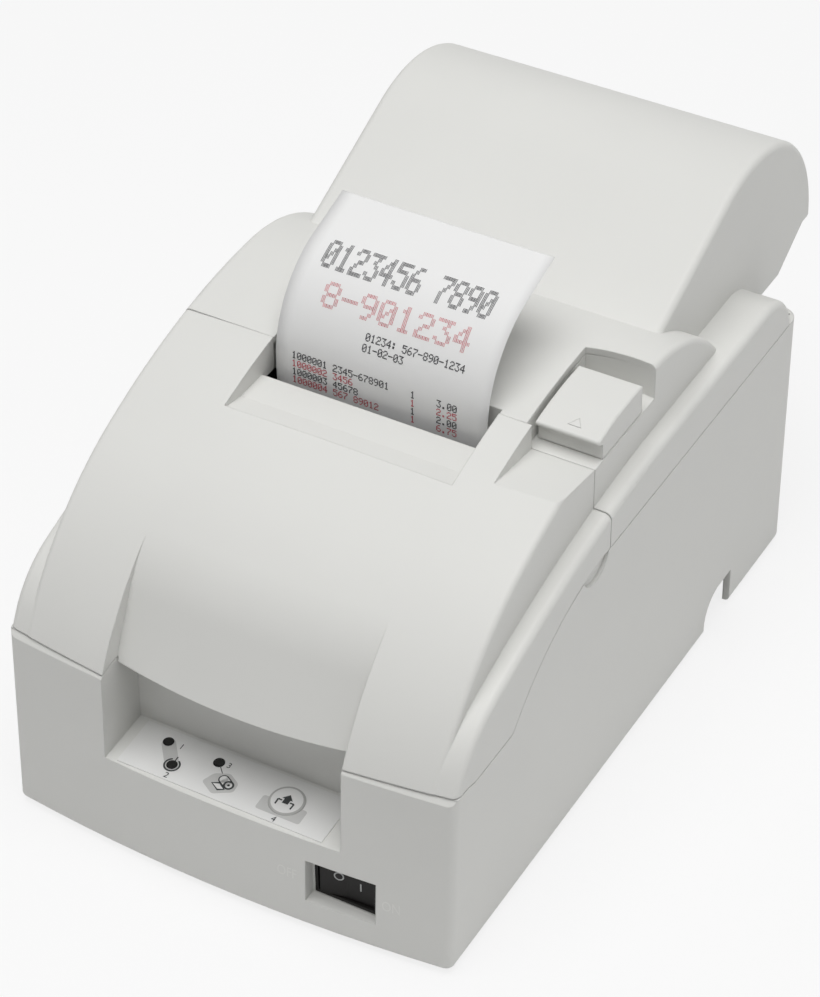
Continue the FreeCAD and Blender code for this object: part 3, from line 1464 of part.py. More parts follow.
def paper():
    outside, outer_radius = receipt_points(lift(0))
    inside, inner_radius = receipt_points(size.paper_thickness)
    outline = [
        outside[0],
        outside[1],
        outside[2] + (-outer_radius,),
        outside[3],
        inside[3],
        inside[2],
        inside[1] + (inner_radius,),
        inside[0],
    ]
    wide = size.paper_width / 2
    node(side_prism("receipt", outline, -wide, wide), "receipt_paper")

    roll_y = case_rear - size.roll_from_case_rear
    under = size.roll_height - size.roll_radius - size.roll_gap
    thin = size.web_thickness
    turn = size.web_turn_radius
    node(side_prism("web", [
        (paper_y, size.web_top_height),
        (paper_y, under + turn),
        (paper_y + turn, under, turn),
        (roll_y, under),
        (roll_y, under - thin),
        (paper_y + turn, under - thin),
        (paper_y - thin, under + turn, -(turn + thin)),
        (paper_y - thin, size.web_top_height),
    ], -wide, wide), "paper_web")
    roll = rod("roll_rod", "x", -wide, roll_y, size.roll_height, size.roll_radius, size.paper_width)
    bore = rod("roll_bore", "x", -wide - 1, roll_y, size.roll_height, size.core_radius, size.paper_width + 2)
    node(cut("paper_roll_cut", roll, [bore]), "paper_roll")
    core = rod("core_rod", "x", -wide, roll_y, size.roll_height, size.core_radius, size.paper_width)
    hole = rod("core_hole", "x", -wide - 1, roll_y, size.roll_height, size.core_radius - size.core_wall,
               size.paper_width + 2)
    node(cut("roll_core_cut", core, [hole]), "roll_core")

    inner = wide + size.slot_side_room
    outer = inner + size.tray_wall
    floor_high = under - thin - size.roll_gap
    floor_low = floor_high - size.tray_wall
    tray_front = roll_y - size.roll_radius - size.tray_front_room
    tray_rear = roll_y + size.roll_radius + size.tray_rear_room
    bottom = box("tray_floor", -outer, outer, tray_front, tray_rear, floor_low, floor_high)
    sides = both_sides("tray_side", inner, outer, lambda name, low, high: box(
        name, low, high, tray_front, tray_rear, floor_low, size.tray_side_height))
    back = box("tray_back", -outer, outer, tray_rear - size.tray_wall, tray_rear, floor_low, size.tray_side_height)
    legs = both_sides("tray_leg", outer - size.tray_leg_width, outer, lambda name, low, high: box(
        name, low, high, bay_front, tray_rear, bay_ceiling, floor_low))
    node(fuse("paper_tray_fuse", [bottom, back] + sides + legs), "paper_tray")


# Print mechanism

mech_half = size.mech_width / 2
mech_front = front + size.mech_front_from_front
mech_rear = mech_front + size.mech_length
base_top = size.base_height + size.base_plate


def feed_axis_y():
    return paper_y + size.paper_grip_gap + size.feed_roller_radius


def pinch_axis_y():
    return paper_y - size.web_thickness - size.paper_grip_gap - size.pinch_roller_radius


def gear_distance(teeth):
    return size.gear_module * (teeth + size.pinion_teeth) / 2


def pinion_place():
    """The feed pinion lies below and behind the feed gear, on a line at half a right angle."""
    step = gear_distance(size.gear_teeth) * cosine(45)
    return feed_axis_y() + step, size.feed_axis_height - step


def mech_frames():
    base = box("mech_base_box", -mech_half - size.frame_plate, mech_half + size.frame_plate, mech_front, mech_rear,
               size.base_height, base_top)
    holes = [rod("base_hole_" + str(number), "z", x, y, size.base_height - 1,
                 size.mech_screw_radius + size.screw_clearance, size.base_plate + 2)
             for number, (x, y) in enumerate(mech_post_places())]
    node(cut("mech_base_cut", base, holes), "mech_base")

    outline = [
        (mech_front, base_top),
        (mech_rear, base_top),
        (mech_rear, size.frame_rear_height),
        (mech_rear - size.frame_rear_slope, size.frame_top_height),
        (front + size.frame_crown_from_front, size.frame_top_height),
        (front + size.frame_brow_from_front, size.frame_brow_height),
        (mech_front, size.frame_front_height),
    ]
    carriage_y = front + size.carriage_shaft_from_front
    rail_y = front + size.carriage_rail_from_front
    pinion_y, pinion_z = pinion_place()
    clear = size.shaft_clearance
    bores = [
        ("carriage", carriage_y, size.carriage_shaft_height, size.carriage_shaft_radius),
        ("rail", rail_y, size.carriage_shaft_height, size.carriage_rail_radius),
        ("feed", feed_axis_y(), size.feed_axis_height, size.feed_shaft_radius + clear),
        ("pinch", pinch_axis_y(), size.feed_axis_height, size.pinch_shaft_radius + clear),
        ("motor", pinion_y, pinion_z, size.motor_shaft_radius + clear + size.motor_bearing_gap),
    ]
    for side, low in (("right", mech_half), ("left", -mech_half - size.frame_plate)):
        plate = side_prism("frame_" + side, outline, low, low + size.frame_plate)
        drills = [rod("frame_" + side + "_" + name, "x", low - 1, y, z, radius, size.frame_plate + 2)
                  for name, y, z, radius in bores]
        node(cut("mech_frame_" + side + "_cut", plate, drills), "mech_frame_" + side)

    screws = []
    for number, (x, y) in enumerate(mech_post_places()):
        shank = rod("mech_shank_" + str(number), "z", x, y, size.base_height - size.mech_screw_length + 1,
                    size.mech_screw_radius, size.mech_screw_length + size.base_plate - 1)
        head = rod("mech_head_" + str(number), "z", x, y, base_top, size.mech_screw_head, size.mech_screw_head_height)
        screws.append(fuse("mech_screw_" + str(number), [shank, head]))
    node(group("mech_screw_group", screws), "mech_screws")

    catch_y = button_front() + size.stem_from_button_front - size.hook_reach - size.catch_gap - size.catch_radius
    catch_z = well_floor_height + size.button_floor_gap - size.stem_drop - size.catch_radius
    catch_start = mech_half + size.frame_plate
    node(rod("latch_catch_rod", "x", catch_start, catch_y, catch_z, size.catch_radius, size.stem_width),
         "latch_catch")


def printing():
    low = paper_y + size.platen_gap
    node(box("platen_box", -mech_half, mech_half, low, low + size.platen_depth, size.platen_low, size.platen_high),
         "platen")
    full = size.mech_width + 2 * size.frame_plate
    start = -mech_half - size.frame_plate
    shaft_y = front + size.carriage_shaft_from_front
    rail_y = front + size.carriage_rail_from_front
    axis_z = size.carriage_shaft_height
    node(rod("carriage_shaft_rod", "x", start, shaft_y, axis_z, size.carriage_shaft_radius, full), "carriage_shaft")
    node(rod("carriage_rail_rod", "x", start, rail_y, axis_z, size.carriage_rail_radius, full), "carriage_rail")

    wide = size.carriage_width / 2
    car_front = front + size.carriage_front_from_front
    car_rear = front + size.carriage_rear_from_front
    block = box("carriage_box", -wide, wide, car_front, car_rear, size.carriage_low, size.carriage_high)
    belt_y = front + size.belt_from_front
    belt_top = size.belt_low + size.belt_height
    clip = box("carriage_clip", -wide / 2, wide / 2, belt_y - size.pulley_radius, belt_y + size.pulley_radius,
               belt_top + size.belt_carriage_gap, size.carriage_low + 1)
    bore = rod("carriage_bore", "x", -wide - 1, shaft_y, axis_z, size.carriage_shaft_radius + size.shaft_clearance,
               size.carriage_width + 2)
    rail_room = size.carriage_rail_radius + size.pulley_gap
    slot = box("carriage_slot", -wide - 1, wide + 1, car_front - 1, rail_y + rail_room, axis_z - rail_room,
               axis_z + rail_room)
    node(cut("carriage_cut", fuse("carriage_fuse", [block, clip]), [bore, slot]), "carriage")

    head_half = size.head_width / 2
    head_front = front + size.head_front_from_front
    body = box("head_box", -head_half, head_half, head_front, car_rear, size.carriage_high, size.head_high)
    fins = []
    steps = 3
    for step in range(-steps, steps + 1):
        x = 1.25 * size.head_fin_gap * step
        fins.append(box("head_fin_" + str(step + steps), x - size.head_fin_gap / 4, x + size.head_fin_gap / 4,
                        head_front - 1, car_rear - size.nose_width, size.head_high - size.head_fin_depth,
                        size.head_high + 1))
    nose_end = paper_y - size.ribbon_gap - size.nose_gap
    nose = box("head_nose", -size.nose_width / 2, size.nose_width / 2, car_rear, nose_end, size.nose_low,
               size.nose_high)
    node(fuse("print_head_fuse", [cut("head_cut", body, fins), nose]), "print_head")

    x = size.belt_pulley_x
    outer = size.pulley_radius + size.pulley_gap + size.belt_thickness
    inner = size.pulley_radius + size.pulley_gap

    def loop(name, radius, low_z, tall):
        ends = [rod(name + "_end_" + str(side), "z", x * side, belt_y, low_z, radius, tall) for side in (-1, 1)]
        run = box(name + "_run", -x, x, belt_y - radius, belt_y + radius, low_z, low_z + tall)
        return fuse(name, ends + [run])

    belt = cut("carriage_belt_cut", loop("belt_outside", outer, size.belt_low, size.belt_height),
               [loop("belt_inside", inner, size.belt_low - 1, size.belt_height + 2)])
    node(belt, "carriage_belt")

    idler = rod("idler_wheel", "z", x, belt_y, size.belt_low, size.pulley_radius, size.belt_height)
    idler_hole = rod("idler_hole", "z", x, belt_y, size.belt_low - 1, size.pulley_shaft_radius + size.shaft_clearance,
                     size.belt_height + 2)
    node(cut("idler_pulley_cut", idler, [idler_hole]), "idler_pulley")
    motor_top = base_top + size.carriage_motor_height
    wheel = rod("drive_wheel", "z", -x, belt_y, size.belt_low, size.pulley_radius, size.belt_height)
    shaft = rod("drive_shaft", "z", -x, belt_y, motor_top - size.belt_height, size.pulley_shaft_radius,
                belt_top - motor_top + size.belt_height)
    node(fuse("drive_pulley_fuse", [wheel, shaft]), "drive_pulley")
    can = rod("carriage_motor_can", "z", -x, belt_y, base_top, size.carriage_motor_radius, size.carriage_motor_height)
    socket = rod("carriage_motor_bore", "z", -x, belt_y, motor_top - size.belt_height,
                 size.pulley_shaft_radius + size.shaft_clearance, 2 * size.belt_height)
    node(cut("carriage_motor_cut", can, [socket]), "carriage_motor")
    post = rod("idler_post_rod", "z", x, belt_y, base_top, size.idler_post_radius,
               size.belt_low - size.blade_gap - base_top)
    pin = rod("idler_pin", "z", x, belt_y, base_top, size.pulley_shaft_radius, belt_top - base_top)
    node(fuse("idler_post_fuse", [post, pin]), "idler_post")


def ribbon():
    back = front + size.cassette_rear_from_front
    ribbon_y = paper_y - size.ribbon_gap
    main = box("cassette_main", -mech_half, mech_half, front + size.cassette_front_from_front, back,
               size.cassette_low, size.cassette_high)
    arm_high = mech_half - size.cassette_arm_inset
    arm_low = arm_high - size.cassette_arm_width
    arm_foot = size.ribbon_low - 1
    arms = both_sides("cassette_arm", arm_low, arm_high, lambda name, low, high: box(
        name, low, high, back - 1, ribbon_y - size.web_thickness, arm_foot - size.wall, size.cassette_arm_high))
    hole = rod("knob_hole", "z", size.knob_x, front + size.knob_from_front, size.cassette_high - 2 * size.knob_height,
               size.knob_stub_radius + size.shaft_clearance, 3 * size.knob_height)
    node(cut("ribbon_cassette_cut", fuse("cassette_fuse", [main] + arms), [hole]), "ribbon_cassette")
    node(box("ribbon_band", -arm_high, arm_high, ribbon_y - size.web_thickness, ribbon_y, size.ribbon_low,
             size.ribbon_high), "ribbon")
    y = front + size.knob_from_front
    knob_low = size.cassette_high + size.knob_gap
    wheel = rod("knob_wheel", "z", size.knob_x, y, knob_low, size.knob_radius, size.knob_height)
    grip = box("knob_grip", size.knob_x - size.knob_radius - size.knob_grip / 2,
               size.knob_x + size.knob_radius + size.knob_grip / 2, y - size.knob_grip / 2, y + size.knob_grip / 2,
               knob_low, knob_low + size.knob_height)
    stub = rod("knob_stub", "z", size.knob_x, y, size.cassette_high - size.knob_height, size.knob_stub_radius,
               size.knob_height + 1)
    node(fuse("ribbon_knob_fuse", [wheel, grip, stub]), "ribbon_knob")


def gear(label, x, y, z, teeth, bore, phase):
    """A spur gear whose teeth are thinned for play; the first tooth points along phase, from +Y towards +Z."""
    module = size.gear_module
    pitch = module * teeth / 2
    tip = pitch + 0.9 * module
    foot = pitch - 1.15 * module
    half_tip = 0.31 * module
    half_foot = 0.97 * module
    body = document.addObject("PartDesign::Body", label + "_body")
    disc = body.newObject("PartDesign::Pad", label + "_disc")
    sketch = body.newObject("Sketcher::SketchObject", label + "_ring")
    support = [feature for feature in body.Origin.OriginFeatures if feature.Role == "XY_Plane"][0]
    sketch.AttachmentSupport = [(support, "")]
    sketch.MapMode = "FlatFace"
    for radius in (foot, lift(bore)):
        circle = sketch.addGeometry(Part.Circle(FreeCAD.Vector(), FreeCAD.Vector(0, 0, 1), radius.value))
        sketch.addConstraint(Sketcher.Constraint("Coincident", circle, 3, -1, 1))
        held = sketch.addConstraint(Sketcher.Constraint("Radius", circle, radius.value))
        bind(sketch, "Constraints[" + str(held) + "]", radius)
    disc.Profile = sketch
    bind(disc, "Length", size.gear_width)
    tooth = body.newObject("PartDesign::Pad", label + "_tooth")
    overlap = foot - module / 2
    tooth.Profile = new_sketch(body, label + "_tooth", "XY_Plane", [
        (overlap, -half_foot),
        (foot, -half_foot),
        (tip, -half_tip),
        (tip, half_tip),
        (foot, half_foot),
        (overlap, half_foot),
    ], 0)
    bind(tooth, "Length", size.gear_width)
    body.Tip = tooth
    document.recompute()
    pattern = body.newObject("PartDesign::PolarPattern", label + "_pattern")
    pattern.Originals = [tooth]
    axis = [feature for feature in body.Origin.OriginFeatures if feature.Role == "Z_Axis"][0]
    pattern.Axis = (axis, [""])
    pattern.Angle = 360
    pattern.Occurrences = int(teeth.value)
    body.Tip = pattern
    upright = FreeCAD.Rotation(FreeCAD.Vector(0, 1, 0), 90)
    start = FreeCAD.Rotation(FreeCAD.Vector(0, 0, 1), phase + 90)
    body.Placement.Rotation = upright.multiply(start)
    place(body, x, y, z)
    return body


def paper_feed():
    y = feed_axis_y()
    z = size.feed_axis_height
    full = size.mech_width + 2 * size.frame_plate
    start = -mech_half - size.frame_plate
    gear_x = mech_half + size.frame_plate + size.gear_frame_gap
    node(rod("feed_shaft_rod", "x", start, y, z, size.feed_shaft_radius,
             full + size.gear_frame_gap + size.gear_width), "feed_shaft")
    places = [size.feed_roller_spacing * step for step in (-1, 0, 1)]

    length = size.feed_roller_length

    def rollers(name, y_place, radius):
        return [rod(name + "_" + str(number), "x", x - length / 2, y_place, z, radius, length)
                for number, x in enumerate(places)]

    tyres = []
    for number, wheel in enumerate(rollers("feed_tyre", y, size.feed_roller_radius)):
        hole = rod("feed_tyre_bore_" + str(number), "x", start, y, z, size.feed_shaft_radius, full)
        tyres.append(cut("feed_roller_" + str(number), wheel, [hole]))
    node(group("feed_roller_group", tyres), "feed_rollers")
    pinch_y = pinch_axis_y()
    pinch_shaft = rod("pinch_shaft", "x", start, pinch_y, z, size.pinch_shaft_radius, full)
    pinch_wheels = rollers("pinch_wheel", pinch_y, size.pinch_roller_radius)
    node(fuse("pinch_roller_fuse", [pinch_shaft] + pinch_wheels), "pinch_rollers")

    pinion_y, pinion_z = pinion_place()
    towards = 135
    wheel = gear("feed_gear_wheel", gear_x, y, z, size.gear_teeth, size.feed_shaft_radius, towards - half_turn)
    node(wheel, "feed_gear")
    half_tooth = half_turn / size.pinion_teeth.value
    pinion = gear("feed_pinion_wheel", gear_x, pinion_y, pinion_z, size.pinion_teeth, size.motor_shaft_radius / 2,
                  towards + half_tooth)
    motor_start = mech_half - size.feed_motor_length
    can = rod("feed_motor_can", "x", motor_start, pinion_y, pinion_z, size.feed_motor_radius, size.feed_motor_length)
    socket = rod("feed_motor_bore", "x", mech_half - size.feed_motor_length / 2, pinion_y, pinion_z,
                 size.motor_shaft_radius + size.motor_bearing_gap, size.feed_motor_length)
    node(cut("feed_motor_cut", can, [socket]), "feed_motor")
    shaft = rod("feed_motor_shaft_rod", "x", mech_half - size.feed_motor_length / 2, pinion_y, pinion_z,
                size.motor_shaft_radius,
                size.feed_motor_length / 2 + size.frame_plate + size.gear_frame_gap + size.gear_width)
    node(fuse("feed_pinion_fuse", [pinion, shaft]), "feed_pinion")


def cutter():
    front_edge = paper_y - size.web_thickness - size.blade_paper_gap
    blade_top = size.fixed_blade_low + size.fixed_blade_thickness
    node(box("fixed_blade_box", -mech_half, mech_half, front_edge - size.fixed_blade_depth, front_edge,
             size.fixed_blade_low, blade_top), "fixed_blade")
    blade_low = blade_top + size.blade_gap
    blade_high = blade_low + size.moving_blade_thickness
    blade_front = paper_y + size.blade_paper_gap
    node(box("moving_blade_box", -size.moving_blade_width / 2, size.moving_blade_width / 2, blade_front,
             blade_front + size.moving_blade_depth, blade_low, blade_high), "moving_blade")
    rear_y = blade_front + size.cutter_depth
    low = blade_low - size.blade_gap
    high = blade_high + size.blade_gap
    plates = [
        box("cutter_floor", -mech_half, mech_half, blade_front, rear_y, low - size.cutter_plate, low),
        box("cutter_roof", -mech_half, mech_half, blade_front, rear_y, high, high + size.cutter_plate),
        box("cutter_back", -mech_half, mech_half, rear_y - size.cutter_plate, rear_y, low - size.cutter_plate, high),
    ]
    node(fuse("cutter_frame_fuse", plates), "cutter_frame")
    node(box("cutter_motor_box", -mech_half + size.frame_plate, -mech_half + size.frame_plate + size.cutter_motor_length,
             rear_y, rear_y + size.cutter_motor_depth, high + size.cutter_plate - size.cutter_motor_height,
             high + size.cutter_plate), "cutter_motor")


def take_up():
    y = rear - size.spool_from_rear
    z = size.spool_height
    reach = size.bracket_x + size.bracket_plate
    half_spool = size.spool_length / 2
    core = rod("spool_core", "x", -half_spool, y, z, size.spool_core_radius, size.spool_length)
    flanges = both_sides("spool_flange", half_spool, half_spool + size.spool_flange, lambda name, low, high: rod(
        name, "x", low, y, z, size.spool_flange_radius, high - low))
    shaft = rod("spool_shaft", "x", -reach, y, z, size.spool_shaft_radius, 2 * reach)
    node(fuse("take_up_spool_fuse", [core, shaft] + flanges), "take_up_spool")
    gear_x = half_spool + size.spool_flange + size.take_up_gear_gap / 4
    towards = -135
    node(gear("take_up_wheel", gear_x, y, z, size.take_up_teeth, size.spool_shaft_radius, towards), "take_up_gear")
    step = gear_distance(size.take_up_teeth) * cosine(45)
    motor_y = y - step
    motor_z = z - step
    half_tooth = half_turn / size.pinion_teeth.value
    pinion = gear("take_up_pinion_wheel", gear_x, motor_y, motor_z, size.pinion_teeth, size.motor_shaft_radius / 2,
                  towards + half_turn + half_tooth)
    can = rod("take_up_can", "x", reach, motor_y, motor_z, size.take_up_motor_radius, size.take_up_motor_length)
    socket = rod("take_up_bore", "x", reach - 1, motor_y, motor_z, size.motor_shaft_radius + size.motor_bearing_gap,
                 size.take_up_motor_length / 2 + 1)
    node(cut("take_up_motor_cut", can, [socket]), "take_up_motor")
    motor_shaft = rod("take_up_motor_shaft", "x", gear_x, motor_y, motor_z, size.motor_shaft_radius,
                      reach + size.take_up_motor_length / 2 - gear_x)
    node(fuse("take_up_pinion_fuse", [pinion, motor_shaft]), "take_up_pinion")

    top = z + size.bracket_top_room
    bracket_front = rear - size.bracket_front_from_rear
    bracket_rear = rear - size.bracket_rear_from_rear

    def bracket(name, low, high):
        plate = box(name + "_plate", low, high, bracket_front, bracket_rear, bay_ceiling, top)
        bores = [
            rod(name + "_bore", "x", low - 1, y, z, size.spool_shaft_radius + size.shaft_clearance, high - low + 2),
            rod(name + "_motor_bore", "x", low - 1, motor_y, motor_z,
                size.motor_shaft_radius + size.shaft_clearance + size.motor_bearing_gap, high - low + 2),
        ]
        return cut(name, plate, bores)

    node(group("bracket_group", both_sides("spool_bracket", size.bracket_x, reach, bracket)), "spool_brackets")


# Boards, connectors, feet

def boards():
    wide = size.board_width / 2
    node(box("main_board_box", -wide, wide, board_front(), board_rear(), size.board_height,
             size.board_height + size.board_thickness), "main_board")
    plate_half = size.plate_width / 2
    board_top = size.board_height + size.board_thickness
    plate = box("plate_box", -plate_half, plate_half, bay_front, bay_front + size.plate_thickness, size.plate_low,
                size.plate_high)
    socket_front = board_rear() - size.socket_depth / 2
    socket_end = bay_front + size.plate_thickness + size.socket_rise
    room = size.socket_room

    def square_socket(label, x, width, tall):
        half_width = width / 2
        shell = box(label + "_shell", x - half_width, x + half_width, socket_front, socket_end, board_top,
                    board_top + tall)
        mouth = box(label + "_mouth", x - half_width + size.socket_wall, x + half_width - size.socket_wall,
                    socket_front + size.socket_wall, socket_end + 1, board_top + size.socket_wall,
                    board_top + tall - size.socket_wall)
        node(cut(label + "_cut", shell, [mouth]), label)
        return box(label + "_window", x - half_width - room, x + half_width + room, bay_front - 1,
                   bay_front + size.plate_thickness + 1, board_top - room, board_top + tall + room)

    windows = [
        square_socket("data_socket", size.data_socket_x, size.data_socket_width, size.data_socket_height),
        square_socket("drawer_socket", size.drawer_socket_x, size.drawer_socket_width, size.drawer_socket_height),
    ]
    x = size.power_socket_x
    radius = size.power_socket_radius
    z = board_top + radius
    length = socket_end - socket_front
    drum = rod("power_drum", "y", x, socket_front, z, radius, length)
    seat = box("power_seat", x - radius, x + radius, socket_front, bay_front - size.wall, board_top, z)
    mouth = rod("power_mouth", "y", x, socket_front + size.socket_wall, z, radius - size.socket_wall, length)
    pin = rod("power_pin", "y", x, socket_front, z, size.socket_wall, length - size.socket_rise)
    node(fuse("power_inlet_fuse", [cut("power_inlet_cut", fuse("power_inlet_body", [drum, seat]), [mouth]), pin]),
         "power_inlet")
    windows.append(rod("power_window", "y", x, bay_front - 1, z, radius + room, size.plate_thickness + 2))
    holes = [rod("plate_bore_" + str(number), "y", x_place, bay_front - 1, z_place,
                 size.plate_screw_radius + size.screw_clearance, size.plate_thickness + 2)
             for number, (x_place, z_place) in enumerate(plate_screw_places())]
    node(cut("interface_plate_cut", plate, windows + holes), "interface_plate")
    screws = []
    for number, (x_place, z_place) in enumerate(plate_screw_places()):
        face = bay_front + size.plate_thickness
        shank = rod("plate_shank_" + str(number), "y", x_place, face - size.plate_screw_length, z_place,
                    size.plate_screw_radius, size.plate_screw_length)
        head = rod("plate_head_" + str(number), "y", x_place, face, z_place, size.plate_screw_head,
                   size.plate_screw_radius)
        screws.append(fuse("plate_screw_" + str(number), [shank, head]))
    node(group("plate_screw_group", screws), "interface_screws")


def underside():
    front_x = half - size.foot_inset
    front_y = corner + size.foot_inset
    rear_x = inner_half - size.bay_post_width / 2
    rear_y = case_rear - size.bay_post_length / 2
    places = [(-front_x, front_y), (front_x, front_y), (-rear_x, rear_y), (rear_x, rear_y)]
    feet = [rod("foot_" + str(number), "z", x, y, 0, size.foot_radius, size.foot_height)
            for number, (x, y) in enumerate(places)]
    node(group("foot_group", feet), "rubber_feet")
    gap = size.setting_cover_gap
    cover_front = front + size.setting_cover_from_front
    cover_end = size.setting_cover_x + size.setting_cover_width
    node(box("setting_cover_box", size.setting_cover_x + gap, cover_end - gap,
             cover_front + gap, cover_front + size.setting_cover_length - gap, size.foot_height + gap,
             size.foot_height + size.setting_cover_thickness + gap), "setting_switch_cover")


lower_case()
panel_pieces()
power_switch()
front_cover()
rear_cover()
rear_hinge()
paper()
mech_frames()
printing()
ribbon()
paper_feed()
cutter()
take_up()
boards()
underside()
document.recompute()

for item in document.Objects:
    if "Invalid" in item.State or "Error" in item.State:
        raise RuntimeError(item.Label + " could not be built")
for item in nodes:
    if item.Shape.isNull() or not item.Shape.isValid():
        raise RuntimeError(item.Label + " has no valid shape")

os.makedirs("parts", exist_ok=True)
for item in nodes:
    item.Shape.exportStep("parts/" + item.Label + ".step")
    print(item.Label, len(item.Shape.Solids), round(item.Shape.Volume, 1))
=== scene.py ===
import json
import math

import bmesh
import bpy
from mathutils import Matrix, Vector
from mathutils.bvhtree import BVHTree


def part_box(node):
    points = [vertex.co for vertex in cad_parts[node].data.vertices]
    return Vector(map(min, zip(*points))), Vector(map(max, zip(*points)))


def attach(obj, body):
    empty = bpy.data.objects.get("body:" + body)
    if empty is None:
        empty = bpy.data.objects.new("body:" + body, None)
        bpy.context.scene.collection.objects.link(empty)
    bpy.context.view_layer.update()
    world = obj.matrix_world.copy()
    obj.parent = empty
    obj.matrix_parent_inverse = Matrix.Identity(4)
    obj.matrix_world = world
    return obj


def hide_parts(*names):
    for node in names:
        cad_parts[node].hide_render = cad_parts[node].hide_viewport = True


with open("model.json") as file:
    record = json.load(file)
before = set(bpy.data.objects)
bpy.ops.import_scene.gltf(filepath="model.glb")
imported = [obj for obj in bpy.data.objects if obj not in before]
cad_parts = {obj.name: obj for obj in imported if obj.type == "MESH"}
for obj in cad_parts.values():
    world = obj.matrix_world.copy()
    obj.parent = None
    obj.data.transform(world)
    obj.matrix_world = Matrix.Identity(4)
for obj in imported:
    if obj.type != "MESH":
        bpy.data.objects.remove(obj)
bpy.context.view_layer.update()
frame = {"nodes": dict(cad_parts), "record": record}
nodes = frame["nodes"]
scene = bpy.context.scene
print("frame loaded,", len(nodes), "nodes")


# View

cameraSet = {
    "imageHeight": 997,
    "focalPixels": 3400.0,
    "sensor": 36.0,
    "azimuth": 29.772,
    "elevation": 39.374,
    "roll": -0.437,
    "distance": 1.13075,
    "target": (-0.008862, -0.006393, 0.060),
}


def addCamera(s):
    azimuth = math.radians(s["azimuth"])
    elevation = math.radians(s["elevation"])
    roll = math.radians(s["roll"])
    target = Vector(s["target"])
    away = Vector((math.sin(azimuth) * math.cos(elevation), -math.cos(azimuth) * math.cos(elevation),
                   math.sin(elevation)))
    level = Vector((math.cos(azimuth), math.sin(azimuth), 0))
    upward = away.cross(level)
    right = level * math.cos(roll) + upward * math.sin(roll)
    up = upward * math.cos(roll) - level * math.sin(roll)
    turn = Matrix((right, up, away)).transposed().to_4x4()
    data = bpy.data.cameras.new("photoCamera")
    data.sensor_width = s["sensor"]
    data.lens = s["focalPixels"] / s["imageHeight"] * s["sensor"]
    camera = bpy.data.objects.new("photoCamera", data)
    camera.matrix_world = Matrix.Translation(target + away * s["distance"]) @ turn
    scene.collection.objects.link(camera)
    scene.camera = camera


addCamera(cameraSet)


# Finishes

noiseSet = {
    "cloudDetail": 3,
    "grainDetail": 2,
    "tintBand": (0.35, 0.65),
    "edgeSamples": 6,
    "specular": 0.5,
}


def newMaterial(name):
    material = bpy.data.materials.new(name)
    material.use_nodes = True
    tree = material.node_tree
    return material, tree, tree.nodes["Principled BSDF"]


def objectPlace(tree):
    return tree.nodes.new("ShaderNodeTexCoord").outputs["Object"]


def addNoise(tree, place, scale, detail):
    noise = tree.nodes.new("ShaderNodeTexNoise")
    noise.inputs["Scale"].default_value = scale
    noise.inputs["Detail"].default_value = detail
    tree.links.new(place, noise.inputs["Vector"])
    return noise.outputs["Fac"]


def addTint(tree, shader, pattern, dark, light):
    ramp = tree.nodes.new("ShaderNodeValToRGB")
    for stop, position, colour in zip(ramp.color_ramp.elements, noiseSet["tintBand"], (dark, light)):
        stop.position = position
        stop.color = (*colour, 1)
    tree.links.new(pattern, ramp.inputs["Fac"])
    tree.links.new(ramp.outputs["Color"], shader.inputs["Base Color"])


def addBump(tree, shader, pattern, strength, depth):
    bump = tree.nodes.new("ShaderNodeBump")
    bump.inputs["Strength"].default_value = strength
    bump.inputs["Distance"].default_value = depth
    tree.links.new(pattern, bump.inputs["Height"])
    tree.links.new(bump.outputs["Normal"], shader.inputs["Normal"])
    return bump


def addShine(tree, shader, pattern, least, most):
    shine = tree.nodes.new("ShaderNodeMapRange")
    shine.inputs["To Min"].default_value = least
    shine.inputs["To Max"].default_value = most
    tree.links.new(pattern, shine.inputs["Value"])
    tree.links.new(shine.outputs["Result"], shader.inputs["Roughness"])


def mouldedPlastic(name, s):
    material, tree, shader = newMaterial(name)
    place = objectPlace(tree)
    cloudScale, cloudDepth = s["cloud"]
    grainScale, grainStrength, grainDepth = s["grain"]
    roughness, spread = s["roughness"]
    cloud = addNoise(tree, place, cloudScale, noiseSet["cloudDetail"])
    dark = [c * (1 - cloudDepth) for c in s["colour"]]
    light = [c * (1 + cloudDepth) for c in s["colour"]]
    addTint(tree, shader, cloud, dark, light)
    grain = addNoise(tree, place, grainScale, noiseSet["grainDetail"])
    bump = addBump(tree, shader, grain, grainStrength, grainDepth)
    if "edgeRadius" in s:  # moulded edges catch the light softly
        edge = tree.nodes.new("ShaderNodeBevel")
        edge.samples = noiseSet["edgeSamples"]
        edge.inputs["Radius"].default_value = s["edgeRadius"]
        tree.links.new(edge.outputs["Normal"], bump.inputs["Normal"])
    addShine(tree, shader, grain, roughness - spread, roughness + spread)
    shader.inputs["Metallic"].default_value = s.get("metallic", 0)
    shader.inputs["Specular IOR Level"].default_value = s.get("specular", noiseSet["specular"])
    return material


